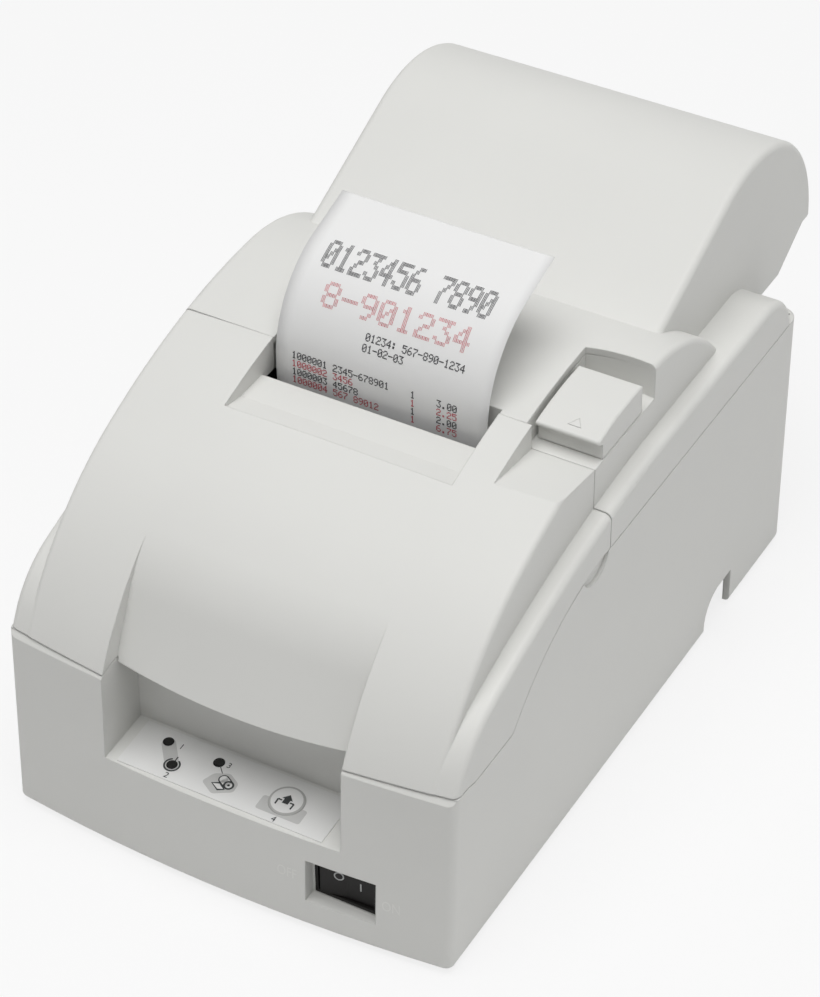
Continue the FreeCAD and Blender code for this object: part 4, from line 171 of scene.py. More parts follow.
# clouding: scale and depth; grain: scale, strength and depth; roughness: middle and spread
finishes = {
    "case_plastic": {"colour": (0.66, 0.66, 0.637), "cloud": (18, 0.008), "grain": (2600, 0.12, 0.0001),
                     "roughness": (0.52, 0.05), "specular": 0.35, "edgeRadius": 0.0006},
    "inner_plastic": {"colour": (0.035, 0.035, 0.037), "cloud": (30, 0.08), "grain": (2200, 0.15, 0.0001),
                      "roughness": (0.5, 0.06)},
    "switch_plastic": {"colour": (0.011, 0.010, 0.0095), "cloud": (60, 0.1), "grain": (3000, 0.06, 0.00005),
                       "roughness": (0.5, 0.05), "specular": 0.22, "edgeRadius": 0.0003},
    "label_film": {"colour": (0.70, 0.70, 0.69), "cloud": (40, 0.006), "grain": (4000, 0.04, 0.00004),
                   "roughness": (0.4, 0.04)},
    "lamp_lens": {"colour": (0.008, 0.008, 0.008), "cloud": (90, 0.2), "grain": (3000, 0.03, 0.00003),
                  "roughness": (0.22, 0.03)},
    "receipt_stock": {"colour": (0.75, 0.75, 0.745), "cloud": (25, 0.006), "grain": (3500, 0.08, 0.00005),
                      "roughness": (0.75, 0.05), "specular": 0.25},
    "core_board": {"colour": (0.36, 0.26, 0.16), "cloud": (60, 0.1), "grain": (1500, 0.2, 0.0001),
                   "roughness": (0.85, 0.05)},
    "steel": {"colour": (0.56, 0.56, 0.57), "cloud": (50, 0.03), "grain": (1800, 0.05, 0.00005),
              "roughness": (0.34, 0.06), "metallic": 1.0},
    "motor_can": {"colour": (0.5, 0.5, 0.51), "cloud": (40, 0.03), "grain": (1500, 0.05, 0.00005),
                  "roughness": (0.42, 0.06), "metallic": 1.0},
    "head_metal": {"colour": (0.3, 0.3, 0.31), "cloud": (40, 0.04), "grain": (1500, 0.1, 0.00008),
                   "roughness": (0.5, 0.08), "metallic": 1.0},
    "circuit_board": {"colour": (0.02, 0.12, 0.045), "cloud": (140, 0.15), "grain": (1200, 0.1, 0.00008),
                      "roughness": (0.4, 0.06)},
    "socket_plastic": {"colour": (0.02, 0.02, 0.021), "cloud": (60, 0.1), "grain": (2500, 0.1, 0.00008),
                       "roughness": (0.48, 0.05)},
    "rubber": {"colour": (0.018, 0.018, 0.018), "cloud": (50, 0.15), "grain": (1600, 0.2, 0.0001),
               "roughness": (0.8, 0.06)},
    "ribbon_cloth": {"colour": (0.012, 0.01, 0.014), "cloud": (80, 0.2), "grain": (5000, 0.3, 0.0001),
                     "roughness": (0.9, 0.04)},
}
materials = {slot: mouldedPlastic(slot, s) for slot, s in finishes.items()}

inks = {
    "inkBlack": {"colour": (0.035, 0.035, 0.04), "cloud": (900, 0.5), "grain": (4000, 0.1, 0.00003),
                 "roughness": (0.7, 0.05)},
    "inkRed": {"colour": (0.52, 0.10, 0.12), "cloud": (900, 0.25), "grain": (4000, 0.1, 0.00003),
               "roughness": (0.7, 0.05)},
    "signDark": {"colour": (0.03, 0.034, 0.034), "cloud": (200, 0.1), "grain": (4000, 0.03, 0.00003),
                 "roughness": (0.45, 0.04)},
    "signGrey": {"colour": (0.50, 0.50, 0.49), "cloud": (200, 0.02), "grain": (4000, 0.03, 0.00003),
                 "roughness": (0.42, 0.04)},
    "ringGrey": {"colour": (0.40, 0.40, 0.39), "cloud": (200, 0.02), "grain": (4000, 0.03, 0.00003),
                 "roughness": (0.42, 0.04)},
    # raised words: the case plastic painted a little lighter, a painted highlight for the light the low
    # relief catches
    "paintedHighlightRelief": {"colour": (0.71, 0.71, 0.685), "cloud": (18, 0.008), "grain": (2600, 0.12, 0.0001),
                   "roughness": (0.5, 0.05), "specular": 0.35},
    "markGrey": {"colour": (0.42, 0.43, 0.43), "cloud": (300, 0.05), "grain": (4000, 0.05, 0.00003),
                 "roughness": (0.5, 0.05)},
}
materials.update({name: mouldedPlastic(name, s) for name, s in inks.items()})

for part in frame["record"]["subparts"]:
    mesh = nodes[part["node"]].data
    mesh.materials.clear()
    mesh.materials.append(materials[part["material_slot"]])
print("finishes on", len(nodes), "nodes")


# Piece makers

def addPiece(name, shape, body, material):
    data = bpy.data.meshes.new(name)
    shape.to_mesh(data)
    shape.free()
    data.materials.append(materials[material])
    piece = bpy.data.objects.new(name, data)
    scene.collection.objects.link(piece)
    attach(piece, body)
    return piece


def disc(shape, centre, radius, segments=48):
    bmesh.ops.create_circle(shape, cap_ends=True, segments=segments, radius=radius,
                            matrix=Matrix.Translation((centre[0], centre[1], 0)))


def ring(shape, centre, inner, outer, segments=64):
    place = Matrix.Translation((centre[0], centre[1], 0))
    edges = []
    for radius in (inner, outer):
        loop = bmesh.ops.create_circle(shape, segments=segments, radius=radius, matrix=place)["verts"]
        edges += list({edge for vert in loop for edge in vert.link_edges})
    bmesh.ops.bridge_loops(shape, edges=edges)


def patch(shape, corners, rounding=0.0, segments=6):
    verts = [shape.verts.new((x, y, 0)) for x, y in corners]
    shape.faces.new(verts)
    if rounding:
        bmesh.ops.bevel(shape, geom=verts, offset=rounding, segments=segments, profile=0.5, affect="VERTICES",
                        material=-1)


def stroke(shape, start, end, width):
    start = Vector(start)
    end = Vector(end)
    side = (end - start).normalized() * (width / 2)
    side = Vector((-side.y, side.x))
    patch(shape, [start - side, end - side, end + side, start + side])


capitalShare = 0.7  # capitals fill about this share of the type size


def words(text, height):
    curve = bpy.data.curves.new("words", "FONT")
    curve.body = text
    curve.size = height / capitalShare
    curve.align_x = "CENTER"
    curve.align_y = "CENTER"
    holder = bpy.data.objects.new("words", curve)
    scene.collection.objects.link(holder)
    flat = bpy.data.meshes.new_from_object(holder)
    shape = bmesh.new()
    shape.from_mesh(flat)
    bpy.data.objects.remove(holder)
    bpy.data.curves.remove(curve)
    bpy.data.meshes.remove(flat)
    return shape


def thicken(shape, depth):
    walls = bmesh.ops.extrude_face_region(shape, geom=shape.faces[:])["geom"]
    raised = [part for part in walls if isinstance(part, bmesh.types.BMVert)]
    bmesh.ops.translate(shape, verts=raised, vec=(0, 0, depth))
    bmesh.ops.recalc_face_normals(shape, faces=shape.faces[:])


# Panel signs

panelSet = {
    "floorRise": 0.0016,
    "floorDepth": 0.0208,
    "film": 0.0003,
    "lift": 0.00004,
    "layer": 0.00003,
    "errorLamp": (-0.0284, 0.00452),
    "powerLamp": (-0.0222, -0.00330),
    "paperLamp": (-0.0095, 0.00431),
    "lensRadius": 0.00185,
    "lensRise": 0.00022,
    "lensSegments": 32,
    "lensEdgeShare": 0.35,
    "lozengeHalf": 0.0023,
    "lozengeEnds": (0.0019, 0.0008),
    "lozengeRounding": 0.00138,
    "plateRounding": 0.0009,
    "powerRing": (0.0022, 0.0028),
    "powerSteps": 48,
    "powerGap": math.radians(52),
    "powerTick": (0.0013, 0.0037),
    "rollPlate": ((-0.0103, -0.0047), (-0.0049, -0.0079), (0.0010, -0.0044), (0.0007, -0.0007),
                  (-0.0038, 0.0019), (-0.0085, -0.0002)),
    "lampLead": ((-0.0083, 0.0031), (-0.0061, 0.0008)),
    "rollEnds": ((-0.0018, -0.0026), (-0.0044, -0.0011)),
    "rollRadius": 0.0018,
    "rollBore": (0.00045, 0.00115),
    "boreSegments": 20,
    "rollPaper": ((-0.0074, -0.0039), (-0.0040, -0.0060), (-0.0019, -0.0047), (-0.0049, -0.0026)),
    "feedButton": (0.0178, 0.00012),
    "feedPlate": ((-0.0078, -0.0067), (0.0081, -0.0067), (0.0080, -0.0008), (-0.0078, -0.0008)),
    "feedRing": ((0.0060, 0.0), (0.0058, 0.00034), (0.00515, 0.00040)),
    "feedSteps": 72,
    "feedCap": 0.0051,
    "capSegments": 64,
    "capRise": 0.00036,
    "capInset": 0.0005,
    "capCrown": 0.00006,
    "arrowLift": 0.0001,
    "arrowHead": ((-0.0019, 0.0003), (0.0019, 0.0003), (0.0, 0.0024)),
    "arrowStem": ((-0.0010, -0.0015), (0.0011, -0.0015), (0.0011, 0.0004), (-0.0010, 0.0004)),
    "arrowArm": ((0.0014, -0.0006), (0.0028, -0.0005), (0.0027, -0.0028)),
    "line": 0.00042,
    "leadLine": 0.000294,
    "paperLine": 0.000672,
    "armLine": 0.000546,
    "numbers": {"1": (-0.0235, 0.0045), "2": (-0.0215, -0.0078), "3": (-0.0059, 0.0045),
                "4": (0.0178, -0.0081)},
    "numberHeight": 0.0022,
}


def panelPlace(s, rise):
    low, high = (Vector(corner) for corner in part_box("panel_label"))
    middle = (low + high) / 2
    turn = Matrix.Rotation(math.atan2(s["floorRise"], s["floorDepth"]), 4, "X")
    raised = Matrix.Translation((0, 0, s["film"] / 2 + rise))
    return Matrix.Translation((0, middle.y, middle.z)) @ turn @ raised


def panelPiece(name, shape, s, material, rise=0.0, body="printer"):
    bmesh.ops.transform(shape, matrix=panelPlace(s, s["lift"] + rise), verts=shape.verts[:])
    return addPiece(name, shape, body, material)


def offset(centre, points):
    return [(centre[0] + x, centre[1] + y) for x, y in points]


def shrunk(corners, width):
    middle = sum((Vector(corner) for corner in corners), Vector((0, 0))) / len(corners)
    spokes = [Vector(corner) - middle for corner in corners]
    return [middle + spoke * (1 - width / spoke.length) for spoke in spokes]


def capsule(shape, ends, radius):
    start, end = (Vector(point) for point in ends)
    stroke(shape, start, end, 2 * radius)
    for centre in (start, end):
        disc(shape, centre, radius)


def addPanelSigns(s):
    # grey fields under the signs
    fields = bmesh.new()
    low = Vector(s["powerLamp"])
    high = Vector(s["errorLamp"])
    along = (high - low).normalized()
    side = Vector((-along.y, along.x)) * s["lozengeHalf"]
    under, over = (along * length for length in s["lozengeEnds"])
    patch(fields, [low - side - under, low + side - under, high + side + over, high - side + over],
          s["lozengeRounding"])
    patch(fields, s["rollPlate"], s["plateRounding"])
    patch(fields, offset(s["feedButton"], s["feedPlate"]), s["plateRounding"])
    panelPiece("panelFields", fields, s, "signGrey")

    # lenses stand a little proud of the film
    lenses = bmesh.new()
    for lamp in ("errorLamp", "powerLamp", "paperLamp"):
        disc(lenses, s[lamp], s["lensRadius"], s["lensSegments"])
    bmesh.ops.inset_individual(lenses, faces=lenses.faces[:], thickness=s["lensRadius"] * s["lensEdgeShare"],
                               depth=s["lensRise"] / 2)
    bmesh.ops.recalc_face_normals(lenses, faces=lenses.faces[:])
    panelPiece("lampLenses", lenses, s, "lamp_lens", s["lensRise"] / 2)

    # dark signs: power ring, lamp lead and the outlines of the paper roll
    signs = bmesh.new()
    inner, outer = s["powerRing"]
    centre = Vector((*s["powerLamp"], 0))
    first = [signs.verts.new(centre + Vector((0, radius, 0))) for radius in (inner, outer)]
    edge = signs.edges.new(first)
    half = Matrix.Rotation(s["powerGap"] / 2, 4, "Z")
    bmesh.ops.rotate(signs, verts=first, cent=centre, matrix=half)
    bmesh.ops.spin(signs, geom=first + [edge], cent=centre, axis=(0, 0, 1), angle=2 * math.pi - s["powerGap"],
                   steps=s["powerSteps"])
    tick = [(s["powerLamp"][0], s["powerLamp"][1] + reach) for reach in s["powerTick"]]
    stroke(signs, *tick, s["line"])
    stroke(signs, *s["lampLead"], s["leadLine"])
    capsule(signs, s["rollEnds"], s["rollRadius"])
    patch(signs, s["rollPaper"])
    panelPiece("panelSigns", signs, s, "signDark", s["layer"])

    # pale insides of the roll and its paper, then the dark rim and bore of the roll's end
    pale = bmesh.new()
    capsule(pale, s["rollEnds"], s["rollRadius"] - s["line"])
    patch(pale, shrunk(s["rollPaper"], s["paperLine"]))
    panelPiece("rollPaperSign", pale, s, "label_film", 2 * s["layer"])
    bore = bmesh.new()
    ring(bore, s["rollEnds"][0], s["rollBore"][1], s["rollRadius"])
    disc(bore, s["rollEnds"][0], s["rollBore"][0], s["boreSegments"])
    panelPiece("rollEndSign", bore, s, "signDark", 3 * s["layer"])

    for index, (digit, centre) in enumerate(s["numbers"].items()):
        number = words(digit, s["numberHeight"])
        bmesh.ops.translate(number, verts=number.verts[:], vec=(*centre, 0))
        panelPiece("panelNumber" + str(index), number, s, "signDark", s["layer"])

    # embossed ring round the feed button, then its white cap with an arrow
    collar = bmesh.new()
    x, y = s["feedButton"]
    profile = [collar.verts.new((x + radius, y, rise)) for radius, rise in s["feedRing"]]
    edges = [collar.edges.new(pair) for pair in zip(profile, profile[1:])]
    bmesh.ops.spin(collar, geom=profile + edges, cent=(x, y, 0), axis=(0, 0, 1), angle=2 * math.pi,
                   steps=s["feedSteps"], use_merge=True)
    bmesh.ops.recalc_face_normals(collar, faces=collar.faces[:])
    panelPiece("feedCollar", collar, s, "ringGrey")
    cap = bmesh.new()
    disc(cap, s["feedButton"], s["feedCap"], s["capSegments"])
    bmesh.ops.inset_individual(cap, faces=cap.faces[:], thickness=s["capInset"], depth=s["capCrown"])
    panelPiece("feedCap", cap, s, "label_film", s["capRise"], "feed_button")
    arrow = bmesh.new()
    patch(arrow, offset(s["feedButton"], s["arrowHead"]))
    patch(arrow, offset(s["feedButton"], s["arrowStem"]))
    for sign in (-1, 1):
        arm = offset(s["feedButton"], [(sign * across, along) for across, along in s["arrowArm"]])
        for start, end in zip(arm, arm[1:]):
            stroke(arrow, start, end, s["armLine"])
    panelPiece("feedArrow", arrow, s, "signDark", s["capRise"] + s["arrowLift"], "feed_button")


addPanelSigns(panelSet)
print("panel signs laid")


# Switch marks and raised words

switchSet = {
    "rayStart": -0.2,
    "leftFace": (0.038408, 0.02085),
    "rightFace": (0.047657, 0.02085),
    "ringPlace": (0.0017, 0.0024),
    "ringRadii": (0.00125, 0.0017),
    "barPlace": (-0.0002, 0.0004),
    "barSize": (0.0005, 0.0032),
    "lift": 0.00004,
    "wordHeight": 0.0039,
    "wordNarrow": 0.72,
    "wordRise": 0.00005,
    "words": {"OFF": (0.0242, 0.0216), "ON": (0.0600, 0.0214)},
}


def nodeSurface(name):
    shape = bmesh.new()
    shape.from_mesh(nodes[name].data)
    surface = BVHTree.FromBMesh(shape)
    shape.free()
    return surface


def frontHit(surface, s, x, z):
    point, normal, face, distance = surface.ray_cast(Vector((x, s["rayStart"], z)), Vector((0, 1, 0)))
    return point, normal


def facePlace(surface, s, face):
    point, normal = frontHit(surface, s, *face)
    across = Vector((0, 0, 1)).cross(normal).normalized()
    up = normal.cross(across)
    turn = Matrix((across, up, normal)).transposed().to_4x4()
    return Matrix.Translation(point + normal * s["lift"]) @ turn


def addSwitchMarks(s):
    rocker = nodeSurface("power_rocker")
    mark = bmesh.new()
    ring(mark, s["ringPlace"], *s["ringRadii"])
    bmesh.ops.transform(mark, matrix=facePlace(rocker, s, s["leftFace"]), verts=mark.verts[:])
    addPiece("rockerRing", mark, "rocker", "markGrey")
    mark = bmesh.new()
    x, y = s["barPlace"]
    width, length = s["barSize"]
    stroke(mark, (x, y - length / 2), (x, y + length / 2), width)
    bmesh.ops.transform(mark, matrix=facePlace(rocker, s, s["rightFace"]), verts=mark.verts[:])
    addPiece("rockerBar", mark, "rocker", "markGrey")

    front = nodeSurface("lower_case")
    for text, (x, z) in s["words"].items():
        shape = words(text, s["wordHeight"])
        thicken(shape, s["wordRise"])
        for vert in shape.verts:  # wrap on the bowed case front
            across, up, rise = vert.co
            point, normal = frontHit(front, s, x + across * s["wordNarrow"], z + up)
            vert.co = point - Vector((0, rise, 0))
        bmesh.ops.recalc_face_normals(shape, faces=shape.faces[:])
        # the raised words take the lighter copy of the case plastic, a painted highlight
        addPiece("word" + text.title(), shape, "printer", "paintedHighlightRelief")


addSwitchMarks(switchSet)
print("switch marked")


# Cover button mark

buttonSet = {
    "middle": (0.0633, -0.0295),
    "corners": ((-0.0023, -0.0015), (0.0023, -0.0015), (0.0, 0.0021)),
    "rise": 0.00014,
    "rayStart": 0.3,
}


def addButtonMark(s):
    top = nodeSurface("cover_open_button")
    shape = bmesh.new()
    patch(shape, s["corners"])
    thicken(shape, s["rise"])
    for vert in shape.verts:
        above = Vector((s["middle"][0] + vert.co.x, s["middle"][1] + vert.co.y, s["rayStart"]))
        point, normal, face, distance = top.ray_cast(above, Vector((0, 0, -1)))
        vert.co = point + Vector((0, 0, vert.co.z))
    bmesh.ops.recalc_face_normals(shape, faces=shape.faces[:])
    addPiece("buttonArrow", shape, "cover_button", "case_plastic")


addButtonMark(buttonSet)
print("cover button marked")


# Receipt

paperSet = {"width": 0.076, "faceY": -0.040, "thickness": 0.00012}
receiptSet = {
    **paperSet,
    "startHeight": 0.116,
    "heading": 1,
    "straight": 0.0146,
    "radius": 0.0338,
    "turn": math.radians(74),
    "tail": 0.0193,
    "columns": 16,
    "rows": 110,
    "inkLift": 0.00003,
}

# five by seven dots for each printed sign, with one column between signs
fontRows = 7
fontPitch = 6
dotSegments = 6
dotFont = {
    "0": "01110 10001 10011 10101 11001 10001 01110",
    "1": "00100 01100 00100 00100 00100 00100 01110",
    "2": "01110 10001 00001 00110 01000 10000 11111",
    "3": "11111 00010 00100 00010 00001 10001 01110",
    "4": "00010 00110 01010 10010 11111 00010 00010",
    "5": "11111 10000 11110 00001 00001 10001 01110",
    "6": "00110 01000 10000 11110 10001 10001 01110",
    "7": "11111 00001 00010 00100 01000 01000 01000",
    "8": "01110 10001 10001 01110 10001 10001 01110",
    "9": "01110 10001 10001 01111 00001 00010 01100",
    ".": "00000 00000 00000 00000 00000 01100 01100",
    ":": "00000 01100 01100 00000 01100 01100 00000",
    "-": "00000 00000 00000 11111 00000 00000 00000",
}

# dot step across and up, dots in one font dot across and up, stroke width in steps, dot radius in dot steps
printStyles = {
    "title": {"step": (0.00084, 0.00147), "dots": (3, 4), "stroke": 1.6, "radius": 0.47, "ink": "inkBlack"},
    "subtitle": {"step": (0.00111, 0.00120), "dots": (3, 3), "stroke": 1.3, "radius": 0.42, "ink": "inkRed"},
    "black": {"step": (0.00031, 0.00038), "dots": (1, 1), "stroke": 1.0, "radius": 0.75, "ink": "inkBlack"},
    "red": {"step": (0.00031, 0.00038), "dots": (1, 1), "stroke": 1.0, "radius": 0.75, "ink": "inkRed"},
}

# text, style, middle across, height along the paper from its foot
printLines = [
    ("0123456 7890", "title", -0.0010, 0.0481),
    ("8-901234", "subtitle", 0.0005, 0.0361),
    ("01234: 567-890-1234", "black", 0.0102, 0.0301),
    ("01-02-03", "black", -0.0005, 0.0265),
    ("1000001 2345-678901    1    3.00", "black", -0.0025, 0.0163),
    ("1000002 3456           1    2.25", "red", -0.0025, 0.01315),
    ("1000003 45678          1    2.00", "black", -0.0025, 0.0100),
    ("1000004 567 89012      1    6.75", "red", -0.0025, 0.00685),
]


# a strip of paper: straight up or down, then round a turn, then a straight tail
def stripLength(s):
    return s["straight"] + s["radius"] * s["turn"] + s["tail"]


def stripPoint(s, across, along, lift):
    beyond = along - s["straight"]
    angle = min(max(beyond / s["radius"], 0), s["turn"])
    outward = Vector((0, -math.cos(angle), s["heading"] * math.sin(angle)))
    onward = Vector((0, math.sin(angle), s["heading"] * math.cos(angle)))
    middle = Vector((across, s["faceY"] + s["radius"], s["startHeight"] + s["heading"] * s["straight"]))
    return middle + outward * (s["radius"] + lift) + onward * (beyond - s["radius"] * angle)


def addThickness(piece, thickness):
    piece.data.shade_smooth()
    wall = piece.modifiers.new("thickness", "SOLIDIFY")
    wall.thickness = thickness
    wall.offset = -1


def addStrip(name, s, body, lift):
    paper = bmesh.new()
    bmesh.ops.create_grid(paper, x_segments=s["columns"], y_segments=s["rows"], size=0.5)
    for vert in paper.verts:
        vert.co = stripPoint(s, vert.co.x * s["width"], (vert.co.y + 0.5) * stripLength(s), lift)
    bmesh.ops.recalc_face_normals(paper, faces=paper.faces[:])
    strip = addPiece(name, paper, body, "receipt_stock")
    addThickness(strip, s["thickness"])
    return strip


def printDots(line, shape):
    text, styleName, middle, height = line
    style = printStyles[styleName]
    stepAcross, stepUp = style["step"]
    dotsAcross, dotsUp = style["dots"]
    fineAcross = stepAcross * style["stroke"] / dotsAcross
    fineUp = stepUp / dotsUp
    radius = min(fineAcross, fineUp) * style["radius"]
    pitch = fontPitch * stepAcross
    left = middle - (len(text) * pitch - stepAcross) / 2
    for place, sign in enumerate(text):
        for row, bits in enumerate(dotFont.get(sign, "").split()):
            for column, bit in enumerate(bits):
                if bit == "0":
                    continue
                cellLeft = left + place * pitch + column * stepAcross
                cellFoot = height + (fontRows - 1 - row) * stepUp
                for i in range(dotsAcross):
                    for j in range(dotsUp):
                        spot = (cellLeft + (i + 0.5) * fineAcross, cellFoot + (j + 0.5) * fineUp)
                        disc(shape, spot, radius, dotSegments)


def addReceipt(s):
    receipt = addStrip("receipt", s, "rear_cover", -s["inkLift"])
    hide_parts("receipt_paper")
    for ink in ("inkBlack", "inkRed"):
        dots = bmesh.new()
        for line in printLines:
            if printStyles[line[1]]["ink"] == ink:
                printDots(line, dots)
        for vert in dots.verts:
            vert.co = stripPoint(s, vert.co.x, vert.co.y, s["inkLift"])
        addPiece(ink + "Print", dots, "rear_cover", ink)


addReceipt(receiptSet)
print("receipt printed")


# Paper roll, the web that leaves it and the ribbon

webSet = {
    **paperSet,
    "startHeight": 0.1128,
    "heading": -1,
    "straight": 0.0430,
    "radius": 0.016,
    "turn": math.radians(90),
    "tail": 0.0662,
    "columns": 12,
    "rows": 120,
    "lift": 0.00015,
}

rollSet = {
    "axis": (0.0422, 0.086),
    "half": 0.038,
    "bore": 0.009,
    "radius": 0.032,
    "layers": 46,
    "layerStep": 0.00014,
    "turnSteps": 96,
    "weldDistance": 0.000001,
    "ringPitch": 0.0005,
    "ringDepth": 0.00012,
    "ringStrength": 0.4,
    "ringWander": 0.6,
    "tints": ((0.66, 0.66, 0.65), (0.77, 0.77, 0.765)),
    "fibreScale": 3500,
    "roughness": (0.7, 0.85),
    "specular": 0.25,
}

ribbonSet = {
    "half": 0.055,
    "heights": (0.098, 0.109),
    "middleY": -0.0419,
    "thickness": 0.00012,
    "ripple": 0.00004,
    "ripplePitch": 0.011,
    "columns": 88,
    "rows": 8,
    "weavePitch": 0.0003,
    "threadGap": 0.12,
    "threadSoftness": 0.6,
    "threadShape": (1.0, 0.5),
    "weaveStrength": 0.5,
    "stainScale": 120,
    "tints": ((0.008, 0.007, 0.010), (0.022, 0.018, 0.026)),
    "roughness": (0.72, 0.92),
}


def woundPaper(s):
    material, tree, shader = newMaterial("woundPaper")
    place = objectPlace(tree)
    shift = tree.nodes.new("ShaderNodeMapping")
    shift.inputs["Location"].default_value = (0, -s["axis"][0], -s["axis"][1])
    tree.links.new(place, shift.inputs["Vector"])
    rings = tree.nodes.new("ShaderNodeTexWave")
    rings.wave_type = "RINGS"
    rings.rings_direction = "X"
    rings.inputs["Scale"].default_value = math.pi / (10 * s["ringPitch"])  # one wave spans pi / 10 at scale 1
    rings.inputs["Distortion"].default_value = s["ringWander"]
    tree.links.new(shift.outputs["Vector"], rings.inputs["Vector"])
    addTint(tree, shader, rings.outputs["Fac"], *s["tints"])
    addBump(tree, shader, rings.outputs["Fac"], s["ringStrength"], s["ringDepth"])
    fibre = addNoise(tree, place, s["fibreScale"], noiseSet["grainDetail"])
    addShine(tree, shader, fibre, *s["roughness"])
    shader.inputs["Specular IOR Level"].default_value = s["specular"]
    return material


def addRoll(s):
    materials["woundPaper"] = woundPaper(s)
    roll = bmesh.new()
    y, z = s["axis"]
    pitch = (s["radius"] - s["bore"]) / s["layers"]
    left = []
    right = []
    for layer in range(s["layers"] + 1):  # layer ends lie a little in and out by turns
        inset = s["layerStep"] * (layer % 3) / 2
        radius = s["bore"] + layer * pitch
        left.append(roll.verts.new((inset - s["half"], y, z + radius)))
        right.append(roll.verts.new((s["half"] - inset, y, z + radius)))
    profile = left + right[::-1]
    edges = [roll.edges.new(pair) for pair in zip(profile, profile[1:] + profile[:1])]
    bmesh.ops.spin(roll, geom=profile + edges, cent=(0, y, z), axis=(1, 0, 0), angle=2 * math.pi,
                   steps=s["turnSteps"], use_merge=True)
    bmesh.ops.remove_doubles(roll, verts=roll.verts[:], dist=s["weldDistance"])
    bmesh.ops.recalc_face_normals(roll, faces=roll.faces[:])
    wound = addPiece("woundRoll", roll, "paper_roll", "woundPaper")
    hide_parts("paper_roll")


def inkedCloth(s):
    material, tree, shader = newMaterial("inkedCloth")
    place = objectPlace(tree)
    weave = tree.nodes.new("ShaderNodeTexBrick")
    weave.inputs["Scale"].default_value = 1 / s["weavePitch"]
    weave.inputs["Mortar Size"].default_value = s["threadGap"]
    weave.inputs["Mortar Smooth"].default_value = s["threadSoftness"]
    weave.inputs["Brick Width"].default_value, weave.inputs["Row Height"].default_value = s["threadShape"]
    turn = tree.nodes.new("ShaderNodeMapping")
    turn.inputs["Rotation"].default_value = (math.radians(-90), 0, 0)  # the band stands upright
    tree.links.new(place, turn.inputs["Vector"])
    tree.links.new(turn.outputs["Vector"], weave.inputs["Vector"])
    stain = addNoise(tree, place, s["stainScale"], noiseSet["cloudDetail"])
    addTint(tree, shader, stain, *s["tints"])
    bump = addBump(tree, shader, weave.outputs["Fac"], s["weaveStrength"], s["thickness"])
    bump.invert = True
    addShine(tree, shader, stain, *s["roughness"])
    return material


def addRibbon(s):
    materials["inkedCloth"] = inkedCloth(s)
    band = bmesh.new()
    bmesh.ops.create_grid(band, x_segments=s["columns"], y_segments=s["rows"], size=0.5)
    low, high = s["heights"]
    for vert in band.verts:
        across = vert.co.x * 2 * s["half"]
        slack = s["ripple"] * math.cos(2 * math.pi * across / s["ripplePitch"]) * (0.5 - vert.co.y)
        vert.co = (across, s["middleY"] - s["thickness"] / 2 + slack, low + (vert.co.y + 0.5) * (high - low))
    bmesh.ops.recalc_face_normals(band, faces=band.faces[:])
    ribbon = addPiece("ribbonBand", band, "printer", "inkedCloth")
    addThickness(ribbon, s["thickness"])
    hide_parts("ribbon")


web = addStrip("paperWeb", webSet, "printer", webSet["lift"])
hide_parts("paper_web")
addRoll(rollSet)
addRibbon(ribbonSet)
print("roll, web and ribbon laid")


# Stage

stageSet = {
    "floorSize": 6.0,
    "floorColour": (0.85, 0.85, 0.85),
    "floorRoughness": 0.9,
    "floorWhite": 0.965,
    "whiteShare": 0.84,
    "backdrop": 0.93,
    "worldLow": 0.06,
    "worldHigh": 0.40,
    "worldBand": (0.1, 0.75),
    "lampAim": (0, 0, 0.06),
    "lamps": {
        "overhead": {"place": (0.08, -0.3, 1.65), "size": 1.5, "power": 22},
        "sideFill": {"place": (1.8, 0.5, 0.4), "size": 1.2, "power": 5},
    },
}


def seenRay(tree):
    path = tree.nodes.new("ShaderNodeLightPath")
    glossy = tree.nodes.new("ShaderNodeMath")
    glossy.operation = "MAXIMUM"
    seen = tree.nodes.new("ShaderNodeMath")
    seen.operation = "MAXIMUM"
    tree.links.new(path.outputs["Is Glossy Ray"], glossy.inputs[0])
    tree.links.new(path.outputs["Is Transmission Ray"], glossy.inputs[1])
    tree.links.new(path.outputs["Is Camera Ray"], seen.inputs[0])
    tree.links.new(glossy.outputs[0], seen.inputs[1])
    return seen.outputs[0]


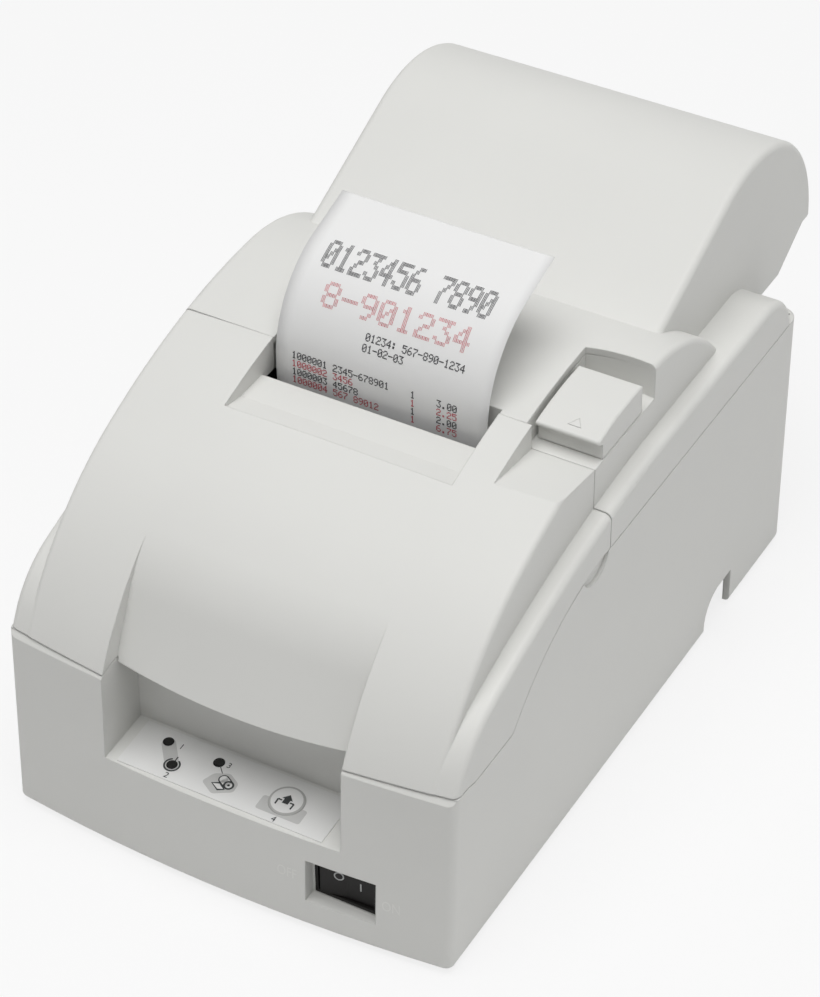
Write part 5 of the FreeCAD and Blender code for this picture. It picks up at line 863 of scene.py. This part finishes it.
def addFloor(s):
    shape = bmesh.new()
    bmesh.ops.create_grid(shape, x_segments=1, y_segments=1, size=s["floorSize"] / 2)
    data = bpy.data.meshes.new("floor")
    shape.to_mesh(data)
    shape.free()
    floor = bpy.data.objects.new("floor", data)
    scene.collection.objects.link(floor)
    material, tree, shader = newMaterial("floorPaper")
    shader.inputs["Base Color"].default_value = (*s["floorColour"], 1)
    shader.inputs["Roughness"].default_value = s["floorRoughness"]
    shader.inputs["Specular IOR Level"].default_value = 0
    white = tree.nodes.new("ShaderNodeEmission")
    white.inputs["Strength"].default_value = s["floorWhite"]
    share = tree.nodes.new("ShaderNodeMath")
    share.operation = "MULTIPLY"
    share.inputs[1].default_value = s["whiteShare"]
    mix = tree.nodes.new("ShaderNodeMixShader")
    tree.links.new(seenRay(tree), share.inputs[0])
    tree.links.new(share.outputs[0], mix.inputs["Fac"])
    tree.links.new(shader.outputs["BSDF"], mix.inputs[1])
    tree.links.new(white.outputs["Emission"], mix.inputs[2])
    tree.links.new(mix.outputs["Shader"], tree.nodes["Material Output"].inputs["Surface"])
    data.materials.append(material)


def addWorld(s):
    world = bpy.data.worlds.new("studio")
    world.use_nodes = True
    scene.world = world
    tree = world.node_tree
    back = tree.nodes["Background"]
    way = tree.nodes.new("ShaderNodeTexCoord")
    height = tree.nodes.new("ShaderNodeSeparateXYZ")
    tree.links.new(way.outputs["Generated"], height.inputs["Vector"])
    ceiling = tree.nodes.new("ShaderNodeMapRange")  # dim walls under a bright ceiling
    ceiling.inputs["From Min"].default_value, ceiling.inputs["From Max"].default_value = s["worldBand"]
    ceiling.inputs["To Min"].default_value = s["worldLow"]
    ceiling.inputs["To Max"].default_value = s["worldHigh"]
    tree.links.new(height.outputs["Z"], ceiling.inputs["Value"])
    level = tree.nodes.new("ShaderNodeMapRange")
    level.inputs["To Max"].default_value = s["backdrop"]
    tree.links.new(ceiling.outputs["Result"], level.inputs["To Min"])
    tree.links.new(seenRay(tree), level.inputs["Value"])
    tree.links.new(level.outputs["Result"], back.inputs["Strength"])
    back.inputs["Color"].default_value = (1, 1, 1, 1)


def addLamps(s):
    for name, lamp in s["lamps"].items():
        light = bpy.data.lights.new(name, "AREA")
        light.shape = "DISK"
        light.size = lamp["size"]
        light.energy = lamp["power"]
        holder = bpy.data.objects.new(name, light)
        holder.location = lamp["place"]
        aim = Vector(s["lampAim"]) - holder.location
        holder.rotation_euler = aim.to_track_quat("-Z", "Y").to_euler()
        scene.collection.objects.link(holder)


addFloor(stageSet)
addWorld(stageSet)
addLamps(stageSet)
scene.view_settings.view_transform = "Standard"
print("stage set")
